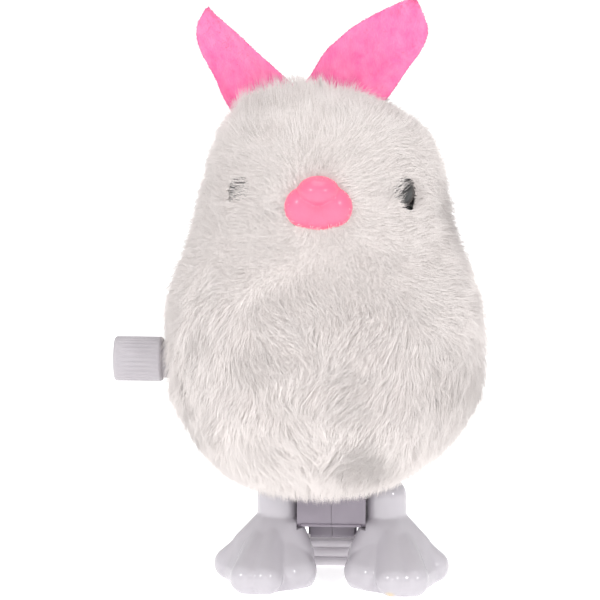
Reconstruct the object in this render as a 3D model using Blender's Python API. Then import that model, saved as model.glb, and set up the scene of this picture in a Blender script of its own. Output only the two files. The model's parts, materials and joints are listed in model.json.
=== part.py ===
"""Clockwork hopping rabbit: a plush-covered wind-up toy that hops on two plastic feet.

All lengths below are millimetres; a mesh is scaled to metres when its object is made.
+X runs away from the winding knob, -Y is the way the rabbit faces and +Z is up.
The origin is on the floor, under the middle of the ribbed bar that joins the two feet.
"""

import math

import bmesh
import bpy
from mathutils import Matrix, Vector

MM = 0.001

# Body: horizontal sections are ellipses round one upright axis.
BODY_X = -1.3
BODY_Y = -8.6
BODY_DEPTH_RATIO = 0.94
PLUSH_PROFILE = (
    (18.4, 14.4), (19.2, 16.0), (21.0, 18.2), (24.5, 21.7), (28.4, 24.2), (33.7, 26.3), (39.0, 26.9),
    (44.2, 26.9), (49.4, 26.4), (54.6, 24.8), (60.0, 22.8), (66.6, 21.2), (73.5, 19.5), (78.6, 17.3),
    (82.0, 14.2), (84.5, 10.0), (85.8, 4.8),
)
PLUSH_TOP = 86.1
PLUSH_THICKNESS = 3.9
SHELL_GAP = 0.4
SHELL_WALL = 1.2
SHELL_BOTTOM = 21.0
SHELL_PARTING_GAP = 0.3
BODY_SEGMENTS = 28

# Face.
EYE_HEIGHT = 70.1
EYE_TURN = 45.0
EYE_RADIUS = 2.9
EYE_DEPTH = 2.2
EYE_SHANK = 1.0
EYE_DOME = 2.0
EYE_SEGMENTS = 20
NOSE_X = -1.5
NOSE_HEIGHT = 69.3
NOSE_DEPTH = 2.4
NOSE_SHANK = 1.5
NOSE_SEGMENTS = 28
# Each lobe is across, up, half its width, half its height and its thickness.
NOSE_LOBES = (
    (0.0, 1.75, 3.45, 2.95, 4.3),
    (-2.75, -1.25, 2.95, 3.25, 3.7),
    (2.75, -1.25, 2.95, 3.25, 3.7),
    (0.0, -1.7, 3.0, 2.8, 3.5),
)
SHANK_LENGTH = 3.6
POCKET_GAP = 0.35
POCKET_MOUTH = 9.0

# Ears: each has its root's x and z, its outward lean and its turn, in degrees.
EAR_LENGTH = 20.0
EAR_WIDTH = 12.6
EAR_WIDEST = 0.45
EAR_THICKNESS = 1.6
EAR_Y = BODY_Y + 4.0
EAR_LEFT = (-11.4, 81.2, -32.0, -38.0)
EAR_RIGHT = (2.1, 83.9, 36.5, 8.0)

# Clockwork: axle positions are (y, z).
ARBOR = Vector((BODY_Y, 38.8))
CRANK = Vector((-8.0, 21.6))
PIVOT = Vector((-6.6, 14.5))
MODULE = 0.45
MAIN_TEETH = 36
PINION_TEETH = 10
WHEEL_TEETH = 30
MESH_PLAY = 0.05
ADDENDUM = 0.8
DEDENDUM = 1.15
PRESSURE_ANGLE = math.radians(25.0)
BACKLASH = 0.12

CASE_HALF_WIDTH = 5.55
CASE_WALL = 1.0
CASE_PARTING_GAP = 0.3
CASE_BOTTOM = 9.5

ARBOR_RADIUS = 1.1
AXLE_RADIUS = 0.75
SHAFT_RADIUS = 1.0
RUNNING_GAP = 0.1
FIXED_GAP = 0.05
CRANK_THROW = 1.15
CRANK_PIN_RADIUS = 0.7

# Winding knob, measured along X.
KNOB_END = -37.2
KNOB_SHOULDER = -28.8
KNOB_SLEEVE_END = -20.5
KNOB_RADIUS = 3.85
SLEEVE_RADIUS = 3.3
KNOB_RIBS = 25

# Feet.
LEG_X = 9.4
LEG_RADIUS = 3.3
BAR_HEIGHT = 5.1
BAR_HALF_DEPTH = 1.6
BAR_HALF_LENGTH = 7.4
BAR_RIBS = 3
CHEEK_X = 5.95
CHEEK_GAP = 0.35
FOOT_VOXEL = 0.4
FOOT_KEEP = 0.09

ROUND_SEGMENTS = 18


# ---------------------------------------------------------------- scene and materials

def clear_scene():
    for obj in list(bpy.data.objects):
        bpy.data.objects.remove(obj, do_unlink=True)


def material(name, colour, roughness, metallic=0.0):
    mat = bpy.data.materials.new(name)
    mat.use_nodes = True
    shader = mat.node_tree.nodes["Principled BSDF"]
    shader.inputs["Base Color"].default_value = (*colour, 1.0)
    shader.inputs["Roughness"].default_value = roughness
    shader.inputs["Metallic"].default_value = metallic
    mat.diffuse_color = (*colour, 1.0)
    return mat


def axis_empty(name, y, z):
    empty = bpy.data.objects.new(name, None)
    empty.empty_display_size = 5 * MM
    empty.location = (0.0, y * MM, z * MM)
    bpy.context.collection.objects.link(empty)
    return empty


def mesh_object(name, bm):
    """A loose object in millimetres, for cutting and joining."""
    bmesh.ops.recalc_face_normals(bm, faces=bm.faces)
    mesh = bpy.data.meshes.new(name)
    bm.to_mesh(mesh)
    bm.free()
    obj = bpy.data.objects.new(name, mesh)
    bpy.context.collection.objects.link(obj)
    return obj


def finish_piece(obj, mat, parent=None, sharp_angle=40.0):
    """Scale to metres, shade smooth and hang the piece on its axis."""
    mesh = obj.data
    if parent is not None:
        mesh.transform(Matrix.Translation(-parent.location / MM))
        obj.parent = parent
    mesh.transform(Matrix.Scale(MM, 4))
    mesh.materials.clear()
    mesh.materials.append(mat)
    mesh.shade_smooth()
    mesh.set_sharp_from_angle(angle=math.radians(sharp_angle))
    mesh.update()
    return obj


def piece(name, bm, mat, parent=None, sharp_angle=40.0):
    return finish_piece(mesh_object(name, bm), mat, parent, sharp_angle)


def apply_modifiers(obj):
    graph = bpy.context.evaluated_depsgraph_get()
    applied = bpy.data.meshes.new_from_object(obj.evaluated_get(graph))
    worn = obj.data
    obj.modifiers.clear()
    obj.data = applied
    bpy.data.meshes.remove(worn)
    return obj


def combine(obj, tools, operation):
    """Cut, join or intersect with each tool object, then remove the tools."""
    for tool in tools:
        modifier = obj.modifiers.new(operation, "BOOLEAN")
        modifier.operation = operation
        modifier.solver = "EXACT"
        modifier.object = tool
        tool.hide_render = True
        tool.display_type = "WIRE"
    apply_modifiers(obj)
    for tool in tools:
        bpy.data.objects.remove(tool, do_unlink=True)
    return obj


def cut(obj, *tools):
    return combine(obj, tools, "DIFFERENCE")


def join(obj, *tools):
    return combine(obj, tools, "UNION")


# ---------------------------------------------------------------- shapes

def skin(rings, wrap=False):
    """A closed skin over rings of points; a ring of one point is a pole."""
    bm = bmesh.new()
    made = [[bm.verts.new(point) for point in ring] for ring in rings]
    pairs = list(zip(made, made[1:]))
    if wrap:
        pairs.append((made[-1], made[0]))
    for low, high in pairs:
        count = max(len(low), len(high))
        for i in range(count):
            j = (i + 1) % count
            corners = [low[i % len(low)], low[j % len(low)], high[j % len(high)], high[i % len(high)]]
            face = list(dict.fromkeys(corners))
            bm.faces.new(face)
    if not wrap:
        for ring in (made[0], made[-1]):
            if len(ring) > 2:
                bm.faces.new(ring)
    return bm


def round_point(x, radius, angle, centre):
    """A point at an angle round a line along X through centre, which is (y, z)."""
    return Vector((x, centre[0] + radius * math.cos(angle), centre[1] + radius * math.sin(angle)))


def turned(profile, segments=ROUND_SEGMENTS, wrap=False, centre=(0.0, 0.0)):
    """Turn a profile of (x, radius) round a line along X; a flat end needs no point on the line."""
    rings = []
    for x, radius in profile:
        if radius == 0.0:
            rings.append([Vector((x, centre[0], centre[1]))])
            continue
        rings.append([round_point(x, radius, 2 * math.pi * k / segments, centre) for k in range(segments)])
    return skin(rings, wrap)


def rod(x0, x1, radius, centre, bevel=0.0, segments=ROUND_SEGMENTS):
    profile = [(x0, radius - bevel)]
    if bevel:
        profile += [(x0 + bevel, radius), (x1 - bevel, radius)]
    profile += [(x1, radius - bevel)]
    return turned(profile, segments, centre=centre)


def prism(outline, x0, x1, holes=()):
    """Extrude an outline of (y, z) points, less its holes, from x0 to x1."""
    bm = bmesh.new()
    edges = []
    for loop in (outline, *holes):
        verts = [bm.verts.new((x0, y, z)) for y, z in loop]
        edges += [bm.edges.new((verts[i], verts[(i + 1) % len(verts)])) for i in range(len(verts))]
    filled = bmesh.ops.triangle_fill(bm, use_beauty=True, edges=edges)
    faces = [item for item in filled["geom"] if isinstance(item, bmesh.types.BMFace)]
    raised = bmesh.ops.extrude_face_region(bm, geom=faces, use_keep_orig=True)
    moved = [item for item in raised["geom"] if isinstance(item, bmesh.types.BMVert)]
    bmesh.ops.translate(bm, vec=(x1 - x0, 0.0, 0.0), verts=moved)
    return bm


def box(low, high):
    bm = bmesh.new()
    bmesh.ops.create_cube(bm, size=1.0)
    size = Vector(high) - Vector(low)
    middle = (Vector(high) + Vector(low)) / 2
    bmesh.ops.scale(bm, vec=size, verts=bm.verts)
    bmesh.ops.translate(bm, vec=middle, verts=bm.verts)
    return bm


def circle(centre, radius, count=ROUND_SEGMENTS):
    points = []
    for k in range(count):
        angle = 2 * math.pi * k / count
        points.append((centre[0] + radius * math.cos(angle), centre[1] + radius * math.sin(angle)))
    return points


def convex_outline(points):
    """The outline round a set of (y, z) points, counter-clockwise."""
    points = sorted(set((round(y, 5), round(z, 5)) for y, z in points))

    def chain(run):
        kept = []
        for p in run:
            while len(kept) > 1:
                (ay, az), (by, bz) = kept[-2], kept[-1]
                if (by - ay) * (p[1] - az) - (bz - az) * (p[0] - ay) > 0:
                    break
                kept.pop()
            kept.append(p)
        return kept[:-1]

    return chain(points) + chain(points[::-1])


def hull_of_balls(balls, detail=2):
    """The convex skin over balls, each (x, y, z, radius)."""
    bm = bmesh.new()
    for x, y, z, radius in balls:
        place = Matrix.Translation((x, y, z))
        bmesh.ops.create_icosphere(bm, subdivisions=detail, radius=radius, matrix=place)
    wrapped = bmesh.ops.convex_hull(bm, input=bm.verts)
    inside = [item for item in wrapped["geom_interior"] if isinstance(item, bmesh.types.BMVert)]
    bmesh.ops.delete(bm, geom=inside, context="VERTS")
    outer = set(item for item in wrapped["geom"] if isinstance(item, bmesh.types.BMFace))
    stray = [face for face in bm.faces if face not in outer]
    bmesh.ops.delete(bm, geom=stray, context="FACES_ONLY")
    return bm


# ---------------------------------------------------------------- gears

def second_axle_centre():
    """Where the second axle meshes with both the main gear and the crank gear."""
    upper = MODULE * (MAIN_TEETH + PINION_TEETH) / 2 + MESH_PLAY
    lower = MODULE * (WHEEL_TEETH + PINION_TEETH) / 2 + MESH_PLAY
    line = CRANK - ARBOR
    along = (upper ** 2 - lower ** 2 + line.length_squared) / (2 * line.length)
    aside = math.sqrt(upper ** 2 - along ** 2)
    direction = line.normalized()
    behind = Vector((-direction.y, direction.x))
    return ARBOR + along * direction + aside * behind


SECOND = second_axle_centre()


def involute(angle):
    return math.tan(angle) - angle


def gear_outline(teeth, phase):
    """Teeth with involute flanks; phase is the angle of one tooth's middle."""
    pitch = MODULE * teeth / 2
    base = pitch * math.cos(PRESSURE_ANGLE)
    tip = pitch + ADDENDUM * MODULE
    root = pitch - DEDENDUM * MODULE
    half_tooth = (math.pi * MODULE - BACKLASH) / (4 * pitch)
    radii = [root, max(pitch - 0.2 * MODULE, base), tip]

    def half_angle(radius):
        rolled = math.acos(min(1.0, base / max(radius, base)))
        return half_tooth + involute(PRESSURE_ANGLE) - involute(rolled)

    points = []
    for k in range(teeth):
        middle = phase + 2 * math.pi * k / teeth
        flank = [(radius, half_angle(radius)) for radius in radii]
        side = [(radius, middle - angle) for radius, angle in flank]
        side += [(radius, middle + angle) for radius, angle in reversed(flank)]
        points += [(radius * math.cos(angle), radius * math.sin(angle)) for radius, angle in side]
    return points


def meshing_phase(driver_centre, driver_teeth, driver_phase, driven_centre, driven_teeth):
    """The driven gear's phase that puts its gap where the driver has a tooth."""
    line = driven_centre - driver_centre
    toward = math.atan2(line.y, line.x)
    share = (toward - driver_phase) * driver_teeth / (2 * math.pi)
    return toward + math.pi - (0.5 - share) * 2 * math.pi / driven_teeth


def shifted(points, centre):
    return [(y + centre[0], z + centre[1]) for y, z in points]


def gear(name, teeth, phase, centre, x0, x1, bore):
    outline = shifted(gear_outline(teeth, phase), centre)
    return mesh_object(name, prism(outline, x0, x1, [circle(centre, bore)]))


# ---------------------------------------------------------------- body

def profile_half_width(z):
    """Half the width of the plush body at a height, between the profile's points."""
    for (z0, w0), (z1, w1) in zip(PLUSH_PROFILE, PLUSH_PROFILE[1:]):
        if z0 <= z <= z1:
            return w0 + (w1 - w0) * (z - z0) / (z1 - z0)
    return 0.0


def body_ring(z, half_width, inset):
    ring = []
    for k in range(BODY_SEGMENTS):
        angle = 2 * math.pi * (k + 0.5) / BODY_SEGMENTS
        x = BODY_X + (half_width - inset) * math.cos(angle)
        y = BODY_Y + (half_width * BODY_DEPTH_RATIO - inset) * math.sin(angle)
        ring.append(Vector((x, y, z)))
    return ring


def body_form(inset, bottom):
    """Rings of the body's form, inset from the pile's surface, from bottom up to the crown.

    An inset form is hidden, so it keeps only every second level.
    """
    top = PLUSH_TOP - inset
    levels = PLUSH_PROFILE[::2] if inset else PLUSH_PROFILE
    rings = [body_ring(bottom, max(profile_half_width(bottom), PLUSH_PROFILE[0][1]), inset)]
    for z, half_width in levels:
        level = z - inset * max(0.0, (z - 60.0) / (PLUSH_TOP - 60.0))
        if level > bottom + 0.5 and half_width - inset > 1.5:
            rings.append(body_ring(level, half_width, inset))
    rings.append([Vector((BODY_X, BODY_Y, top))])
    return rings


def cup(outer_inset, inner_inset, bottom):
    """A hollow form open at the bottom, between two insets."""
    outside = body_form(outer_inset, bottom)
    inside = body_form(inner_inset, bottom)
    bm = bmesh.new()

    def add(rings):
        made = [[bm.verts.new(point) for point in ring] for ring in rings]
        for low, high in zip(made, made[1:]):
            for i in range(BODY_SEGMENTS):
                j = (i + 1) % BODY_SEGMENTS
                corners = [low[i], low[j], high[j % len(high)], high[i % len(high)]]
                bm.faces.new(list(dict.fromkeys(corners)))
        return made[0]

    outer_rim = add(outside)
    inner_rim = add(inside)
    for i in range(BODY_SEGMENTS):
        j = (i + 1) % BODY_SEGMENTS
        bm.faces.new([outer_rim[i], outer_rim[j], inner_rim[j], inner_rim[i]])
    return bm


def face_placement(turn, height, depth):
    """A place on the head turned from straight ahead, with its outward direction."""
    half_width = profile_half_width(height)
    angle = math.radians(turn)
    x = BODY_X + half_width * math.sin(angle)
    y = BODY_Y - half_width * BODY_DEPTH_RATIO * math.cos(angle)
    outward = Vector((math.sin(angle), -math.cos(angle) / BODY_DEPTH_RATIO, 0.0)).normalized()
    return Vector((x, y, height)) - outward * depth, outward


def facing(position, outward):
    """A transform whose +X points outward from the position."""
    side = Vector((0.0, 0.0, 1.0)).cross(outward).normalized()
    up = outward.cross(side)
    return Matrix.Translation(position) @ Matrix((outward, side, up)).transposed().to_4x4()


def placed(bm, transform):
    bmesh.ops.transform(bm, matrix=transform, verts=bm.verts)
    return bm


def dome_profile(radius, height, shank_radius, shank_length):
    """A dome on a shank: the shank runs to -X from the dome's flat back at x = 0."""
    profile = [(-shank_length, shank_radius), (0.0, shank_radius), (0.0, radius * 0.97)]
    steps = 5
    for k in range(steps):
        angle = math.pi / 2 * k / steps
        profile.append((0.3 + height * math.sin(angle), radius * math.cos(angle)))
    profile.append((0.3 + height, 0.0))
    return profile


def build_eye(name, turn, mat):
    position, outward = face_placement(turn, EYE_HEIGHT, EYE_DEPTH)
    bm = turned(dome_profile(EYE_RADIUS, EYE_DOME, EYE_SHANK, SHANK_LENGTH), EYE_SEGMENTS)
    return piece(name, placed(bm, facing(position, outward)), mat)


def eye_pocket(turn, gap, mouth):
    """The space round an eye and its shank, as a cutter."""
    position, outward = face_placement(turn, EYE_HEIGHT, EYE_DEPTH)
    radius = EYE_RADIUS + gap
    shank = EYE_SHANK + gap
    profile = [(-8.0, shank), (-gap, shank), (-gap, radius), (mouth, radius)]
    return mesh_object("eye_pocket", placed(turned(profile, EYE_SEGMENTS), facing(position, outward)))


def nose_section(x_depth, grow=0.0):
    """The nose's outline at a distance in front of its flat back: soft lobes run together."""
    ring = []
    for k in range(NOSE_SEGMENTS):
        angle = 2 * math.pi * k / NOSE_SEGMENTS
        direction = Vector((math.cos(angle), math.sin(angle)))
        reach = 0.3
        for across, up, half_wide, half_tall, thick in NOSE_LOBES:
            shrink = math.sqrt(max(0.0, 1 - (x_depth / thick) ** 2))
            a, b = half_wide * shrink + grow, half_tall * shrink + grow
            if shrink <= 0.0:
                continue
            p = Vector((direction.x / a, direction.y / b))
            q = Vector((across / a, up / b))
            half_b = p.dot(q)
            root = half_b ** 2 - p.length_squared * (q.length_squared - 1)
            if root > 0:
                reach = max(reach, (half_b + math.sqrt(root)) / p.length_squared)
        ring.append((reach * direction.x, reach * direction.y))
    return ring


def build_nose(mat):
    position, outward = face_placement(0.0, NOSE_HEIGHT, NOSE_DEPTH)
    position.x = NOSE_X
    rings = []
    shank_ring = circle((0.0, 0.0), NOSE_SHANK, NOSE_SEGMENTS)
    rings.append([Vector((-SHANK_LENGTH, y, z)) for y, z in shank_ring])
    rings.append([Vector((0.0, y, z)) for y, z in shank_ring])
    for depth in (0.0, 0.9, 1.8, 2.6, 3.2, 3.6, 3.95):
        rings.append([Vector((depth + 0.02, y, z)) for y, z in nose_section(depth)])
    rings.append([Vector((4.25, 0.0, 0.8))])
    return piece("nose", placed(skin(rings), facing(position, outward)), mat, sharp_angle=60.0)


def nose_pocket(gap, mouth):
    position, outward = face_placement(0.0, NOSE_HEIGHT, NOSE_DEPTH)
    position.x = NOSE_X
    shank_ring = circle((0.0, 0.0), NOSE_SHANK + gap, NOSE_SEGMENTS)
    wide_ring = nose_section(0.0, gap)
    rings = [
        [Vector((-9.0, y, z)) for y, z in shank_ring],
        [Vector((-gap, y, z)) for y, z in shank_ring],
        [Vector((-gap, y, z)) for y, z in wide_ring],
        [Vector((mouth, y, z)) for y, z in wide_ring],
    ]
    return mesh_object("nose_pocket", placed(skin(rings), facing(position, outward)))


def ear_transform(ear):
    """Stand an ear on the crown from its own XZ plane: turn it, then lean it outwards."""
    x, z, lean, turn = ear
    leaned = Matrix.Rotation(math.radians(lean), 4, "Y")
    return Matrix.Translation((x, EAR_Y, z)) @ leaned @ Matrix.Rotation(math.radians(turn), 4, "Z")


def ear_half_width(share):
    """Half the ear's width, at a share of its length from root to tip."""
    if share < EAR_WIDEST:
        return EAR_WIDTH / 2 * (1 - 0.18 * (1 - share / EAR_WIDEST) ** 2)
    return EAR_WIDTH / 2 * (1 - ((share - EAR_WIDEST) / (1 - EAR_WIDEST)) ** 2) ** 0.85


def ear_mesh(grow=0.0, length=EAR_LENGTH):
    rings = []
    steps = 12
    for k in range(steps + 1):
        share = k / steps * length / EAR_LENGTH
        half = max(0.35, ear_half_width(min(share, 0.995))) + grow
        thick = EAR_THICKNESS / 2 + grow
        z = share * EAR_LENGTH - (grow if k == 0 else 0.0)
        cup_depth = 0.9 * math.sin(math.pi * share)
        across = (-1.0, -0.55, 0.0, 0.55, 1.0)
        front = [Vector((half * a, cup_depth * (a * a - 0.5) - thick, z)) for a in across]
        back = [Vector((half * a, cup_depth * (a * a - 0.5) + thick, z)) for a in reversed(across)]
        rings.append(front + back)
    return skin(rings)


def build_ear(name, ear, mat):
    return piece(name, placed(ear_mesh(), ear_transform(ear)), mat)


def ear_slot(ear):
    return mesh_object("ear_slot", placed(ear_mesh(grow=0.3, length=12.0), ear_transform(ear)))


def knob_passage():
    return mesh_object("knob_passage", rod(-40.0, -14.0, SLEEVE_RADIUS + 0.35, ARBOR))


def build_plush(mat):
    cover = mesh_object("plush_cover", cup(0.0, PLUSH_THICKNESS, PLUSH_PROFILE[0][0]))
    cutters = [knob_passage(), nose_pocket(POCKET_GAP, POCKET_MOUTH)]
    cutters += [ear_slot(ear) for ear in (EAR_LEFT, EAR_RIGHT)]
    cutters += [eye_pocket(turn, POCKET_GAP, POCKET_MOUTH) for turn in (-EYE_TURN, EYE_TURN)]
    cut(cover, *cutters)
    finish_piece(cover, mat)


def build_shell(mat):
    outer = PLUSH_THICKNESS + SHELL_GAP
    for name, side in (("body_shell_front", -1), ("body_shell_back", 1)):
        half = mesh_object(name, cup(outer, outer + SHELL_WALL, SHELL_BOTTOM))
        parting = BODY_Y + side * SHELL_PARTING_GAP / 2
        away = BODY_Y - side * 60.0
        keep_out = box((-60.0, min(parting, away), 0.0), (60.0, max(parting, away), 100.0))
        cutters = [mesh_object("other_half", keep_out), knob_passage()]
        if side < 0:
            cutters.append(nose_pocket(POCKET_GAP, POCKET_MOUTH))
            cutters += [eye_pocket(turn, POCKET_GAP, POCKET_MOUTH) for turn in (-EYE_TURN, EYE_TURN)]
        cut(half, *cutters)
        finish_piece(half, mat)


# ---------------------------------------------------------------- gearbox

CASE_ARBOR_RADIUS = 10.6
CASE_SECOND_RADIUS = 8.7
CASE_CRANK_RADIUS = 7.3
NECK_FRONT = -10.0
NECK_BACK = -1.7
BLOCK_FRONT = -5.6
BLOCK_BACK = -2.2
BLOCK_BOTTOM = 6.4
BLOCK_HALF_WIDTH = 3.5
LUG_RADIUS = 2.1
NECK_BOSS_RADIUS = 1.5
SCREW_RADIUS = 0.8
SCREW_HEAD_RADIUS = 1.5
NECK_SCREW = Vector((-3.4, 12.2))
SCREWS = (
    ARBOR + Vector((-8.9, 8.6)),
    ARBOR + Vector((8.9, 8.6)),
    Vector((-18.4, 27.6)),
    NECK_SCREW,
)


def case_outline(inset):
    points = []
    rounds = ((ARBOR, CASE_ARBOR_RADIUS), (SECOND, CASE_SECOND_RADIUS), (CRANK, CASE_CRANK_RADIUS))
    for centre, radius in rounds:
        points += circle(centre, radius - inset, 36)
    return convex_outline(points)


def neck_outline(inset):
    front, back, bottom = NECK_FRONT + inset, NECK_BACK - inset, CASE_BOTTOM + inset
    corner = 0.8
    return [
        (front + corner, bottom), (back - corner, bottom), (back, bottom + corner),
        (back, CRANK.y), (front, CRANK.y), (front, bottom + corner),
    ]


def bottom_lip_outline():
    """A low rounded lip along the front bottom edge of the neck."""
    front = NECK_FRONT + 0.4
    z0, z1 = CASE_BOTTOM + 0.15, CASE_BOTTOM + 0.95
    bulge, corner = 0.85, 0.2
    return [
        (front, z0), (front, z1), (front - bulge + 0.1, z1 - corner),
        (front - bulge, (z0 + z1) / 2), (front - bulge + 0.1, z0 + corner),
    ]


def foot_block_outline():
    """A solid block under the neck, set back between the insteps and clear of the bar's swing."""
    corner = 0.5
    return [
        (BLOCK_FRONT + corner, BLOCK_BOTTOM), (BLOCK_BACK - corner, BLOCK_BOTTOM),
        (BLOCK_BACK, BLOCK_BOTTOM + corner), (BLOCK_BACK, CASE_BOTTOM + 0.5),
        (BLOCK_FRONT, CASE_BOTTOM + 0.5), (BLOCK_FRONT, BLOCK_BOTTOM + corner),
    ]


def case_form(inset, x0, x1):
    """The housing's form between two planes across X: a rounded block with a neck below."""
    form = mesh_object("case", prism(case_outline(inset), -20.0, 20.0))
    join(form, mesh_object("neck", prism(neck_outline(inset), -21.0, 21.0)))
    if inset == 0.0:
        lip_end = CASE_HALF_WIDTH - 0.4
        join(form, mesh_object("lip", prism(bottom_lip_outline(), -lip_end, lip_end)))
        block = prism(foot_block_outline(), -BLOCK_HALF_WIDTH, BLOCK_HALF_WIDTH)
        join(form, mesh_object("block", block))
    slab = mesh_object("slab", box((x0, -60.0, -10.0), (x1, 60.0, 90.0)))
    return combine(form, [slab], "INTERSECT")


def build_case_half(name, side, mat):
    seam = side * CASE_PARTING_GAP / 2
    outside = side * CASE_HALF_WIDTH
    inside = side * (CASE_HALF_WIDTH - CASE_WALL)

    def span(a, b):
        return min(a, b), max(a, b)

    half = case_form(0.0, *span(seam, outside))
    half.name = name
    cut(half, case_form(CASE_WALL, *span(-side * 1.0, inside)))
    for centre in SCREWS:
        radius = NECK_BOSS_RADIUS if centre is NECK_SCREW else LUG_RADIUS
        boss = rod(*span(seam + side * 0.05, outside - side * 0.2), radius, centre, segments=16)
        join(half, mesh_object("boss", boss))
    holes = []
    shafts = (
        (ARBOR, ARBOR_RADIUS), (SECOND, AXLE_RADIUS), (CRANK, AXLE_RADIUS), (PIVOT, SHAFT_RADIUS),
    )
    for centre, radius in shafts:
        holes.append(mesh_object("hole", rod(*span(0.0, side * 9.0), radius + RUNNING_GAP, centre)))
    for centre in SCREWS:
        if side > 0:
            holes.append(mesh_object("hole", rod(-1.0, 9.0, SCREW_RADIUS + 0.15, centre, segments=16)))
            holes.append(mesh_object("hole", rod(4.4, 9.0, SCREW_HEAD_RADIUS + 0.2, centre, segments=16)))
        else:
            holes.append(mesh_object("hole", rod(-4.3, 1.0, SCREW_RADIUS + 0.15, centre, segments=16)))
    cut(half, *holes)
    finish_piece(half, mat, sharp_angle=30.0)


def build_screws(mat):
    """Pan-head self-tapping screws, driven from the right side."""
    for number, centre in enumerate(SCREWS, start=1):
        profile = [
            (-4.0, 0.0), (-3.2, 0.55), (-2.8, SCREW_RADIUS), (4.7, SCREW_RADIUS), (4.7, SCREW_HEAD_RADIUS),
            (5.2, SCREW_HEAD_RADIUS), (5.6, 0.9),
        ]
        screw = mesh_object(f"gearbox_screw_{number}", turned(profile, 12, centre=centre))
        low = (5.25, centre.x - 1.1, centre.y - 0.2)
        high = (6.2, centre.x + 1.1, centre.y + 0.2)
        cut(screw, mesh_object("slot", box(low, high)))
        finish_piece(screw, mat)


# ---------------------------------------------------------------- clockwork

SPRING_X = (-4.2, -1.35)
SPRING_INNER = 1.75
SPRING_OUTER = 8.0
SPRING_TURNS = 6.5
SPRING_THICKNESS = 0.3
MAIN_GEAR_X = (-1.0, 0.4)
SECOND_PINION_X = (-1.2, 0.9)
SECOND_WHEEL_X = (0.85, 2.1)
CRANK_PINION_X = (0.65, 2.3)
CRANK_DISC_X = (-1.0, 0.2)
CRANK_PIN_X = (-2.75, -0.9)
FORK_X = (-2.6, -1.4)


def build_spring(mat):
    """A flat ribbon wound in a spiral round the arbor."""
    steps = int(SPRING_TURNS * 14)
    rings = []
    for k in range(steps + 1):
        share = k / steps
        angle = 2 * math.pi * SPRING_TURNS * share
        radius = SPRING_INNER + (SPRING_OUTER - SPRING_INNER) * share
        inner, outer = radius - SPRING_THICKNESS / 2, radius + SPRING_THICKNESS / 2
        corners = (
            (SPRING_X[0], inner), (SPRING_X[1], inner), (SPRING_X[1], outer), (SPRING_X[0], outer),
        )
        rings.append([round_point(x, reach, angle, ARBOR) for x, reach in corners])
    piece("mainspring", skin(rings), mat)


def build_knob(mat, parent):
    """A ribbed grip with a plain sleeve and a blind bore for the arbor."""
    bore = ARBOR_RADIUS + FIXED_GAP
    rib_depth = 0.16
    rim = 0.5
    stations = (
        (KNOB_END, KNOB_RADIUS - rim - 0.35, 0.0), (KNOB_END + 0.12, KNOB_RADIUS - 0.22, 0.4),
        (KNOB_END + rim, KNOB_RADIUS, 1.0), (KNOB_SHOULDER - 0.35, KNOB_RADIUS - 0.12, 1.0),
        (KNOB_SHOULDER, KNOB_RADIUS - 0.45, 0.3),
    )
    rings = []
    for x, radius, ribbed in stations:
        ring = []
        for k in range(KNOB_RIBS * 4):
            angle = 2 * math.pi * k / (KNOB_RIBS * 4)
            dip = rib_depth * ribbed if k % 4 in (2, 3) else 0.0
            ring.append(round_point(x, radius - dip, angle, ARBOR))
        rings.append(ring)
    grip = mesh_object("winding_knob", skin(rings))
    sleeve_profile = [
        (KNOB_SHOULDER - 1.0, SLEEVE_RADIUS), (KNOB_SLEEVE_END - 0.3, SLEEVE_RADIUS),
        (KNOB_SLEEVE_END, SLEEVE_RADIUS - 0.3),
    ]
    join(grip, mesh_object("sleeve", turned(sleeve_profile, 32, centre=ARBOR)))
    cut(grip, mesh_object("bore", rod(KNOB_SHOULDER - 3.0, 0.0, bore, ARBOR)))
    finish_piece(grip, mat, parent, sharp_angle=25.0)


def build_winder(steel, nylon, knob_plastic, parent):
    build_knob(knob_plastic, parent)
    piece("winding_arbor", rod(KNOB_SHOULDER - 2.7, 5.3, ARBOR_RADIUS, ARBOR, bevel=0.15), steel, parent)
    main_gear = gear("main_gear", MAIN_TEETH, 0.0, ARBOR, *MAIN_GEAR_X, ARBOR_RADIUS + FIXED_GAP)
    finish_piece(main_gear, nylon, parent)


def second_phases():
    pinion = meshing_phase(ARBOR, MAIN_TEETH, 0.0, SECOND, PINION_TEETH)
    return pinion, 0.0


def build_second(steel, nylon, parent):
    pinion_phase, wheel_phase = second_phases()
    bore = AXLE_RADIUS + FIXED_GAP
    gear_piece = gear("second_gear", WHEEL_TEETH, wheel_phase, SECOND, *SECOND_WHEEL_X, bore)
    pinion = gear("pinion", PINION_TEETH, pinion_phase, SECOND, *SECOND_PINION_X, bore)
    join(gear_piece, pinion)
    finish_piece(gear_piece, nylon, parent)
    piece("second_axle", rod(-5.3, 5.3, AXLE_RADIUS, SECOND, bevel=0.1), steel, parent)


def build_crank(steel, nylon, parent):
    bore = AXLE_RADIUS + FIXED_GAP
    phase = meshing_phase(SECOND, WHEEL_TEETH, second_phases()[1], CRANK, PINION_TEETH)
    crank_gear = gear("crank_gear", PINION_TEETH, phase, CRANK, *CRANK_PINION_X, bore)
    finish_piece(crank_gear, nylon, parent)
    disc = mesh_object("crank_disc", prism(circle(CRANK, 2.35), *CRANK_DISC_X, [circle(CRANK, bore)]))
    pin_centre = CRANK + Vector((-CRANK_THROW, 0.0))
    join(disc, mesh_object("pin", rod(*CRANK_PIN_X, CRANK_PIN_RADIUS, pin_centre, segments=16)))
    finish_piece(disc, nylon, parent)
    piece("crank_axle", rod(-0.75, 5.3, AXLE_RADIUS, CRANK, bevel=0.1), steel, parent)


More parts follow.
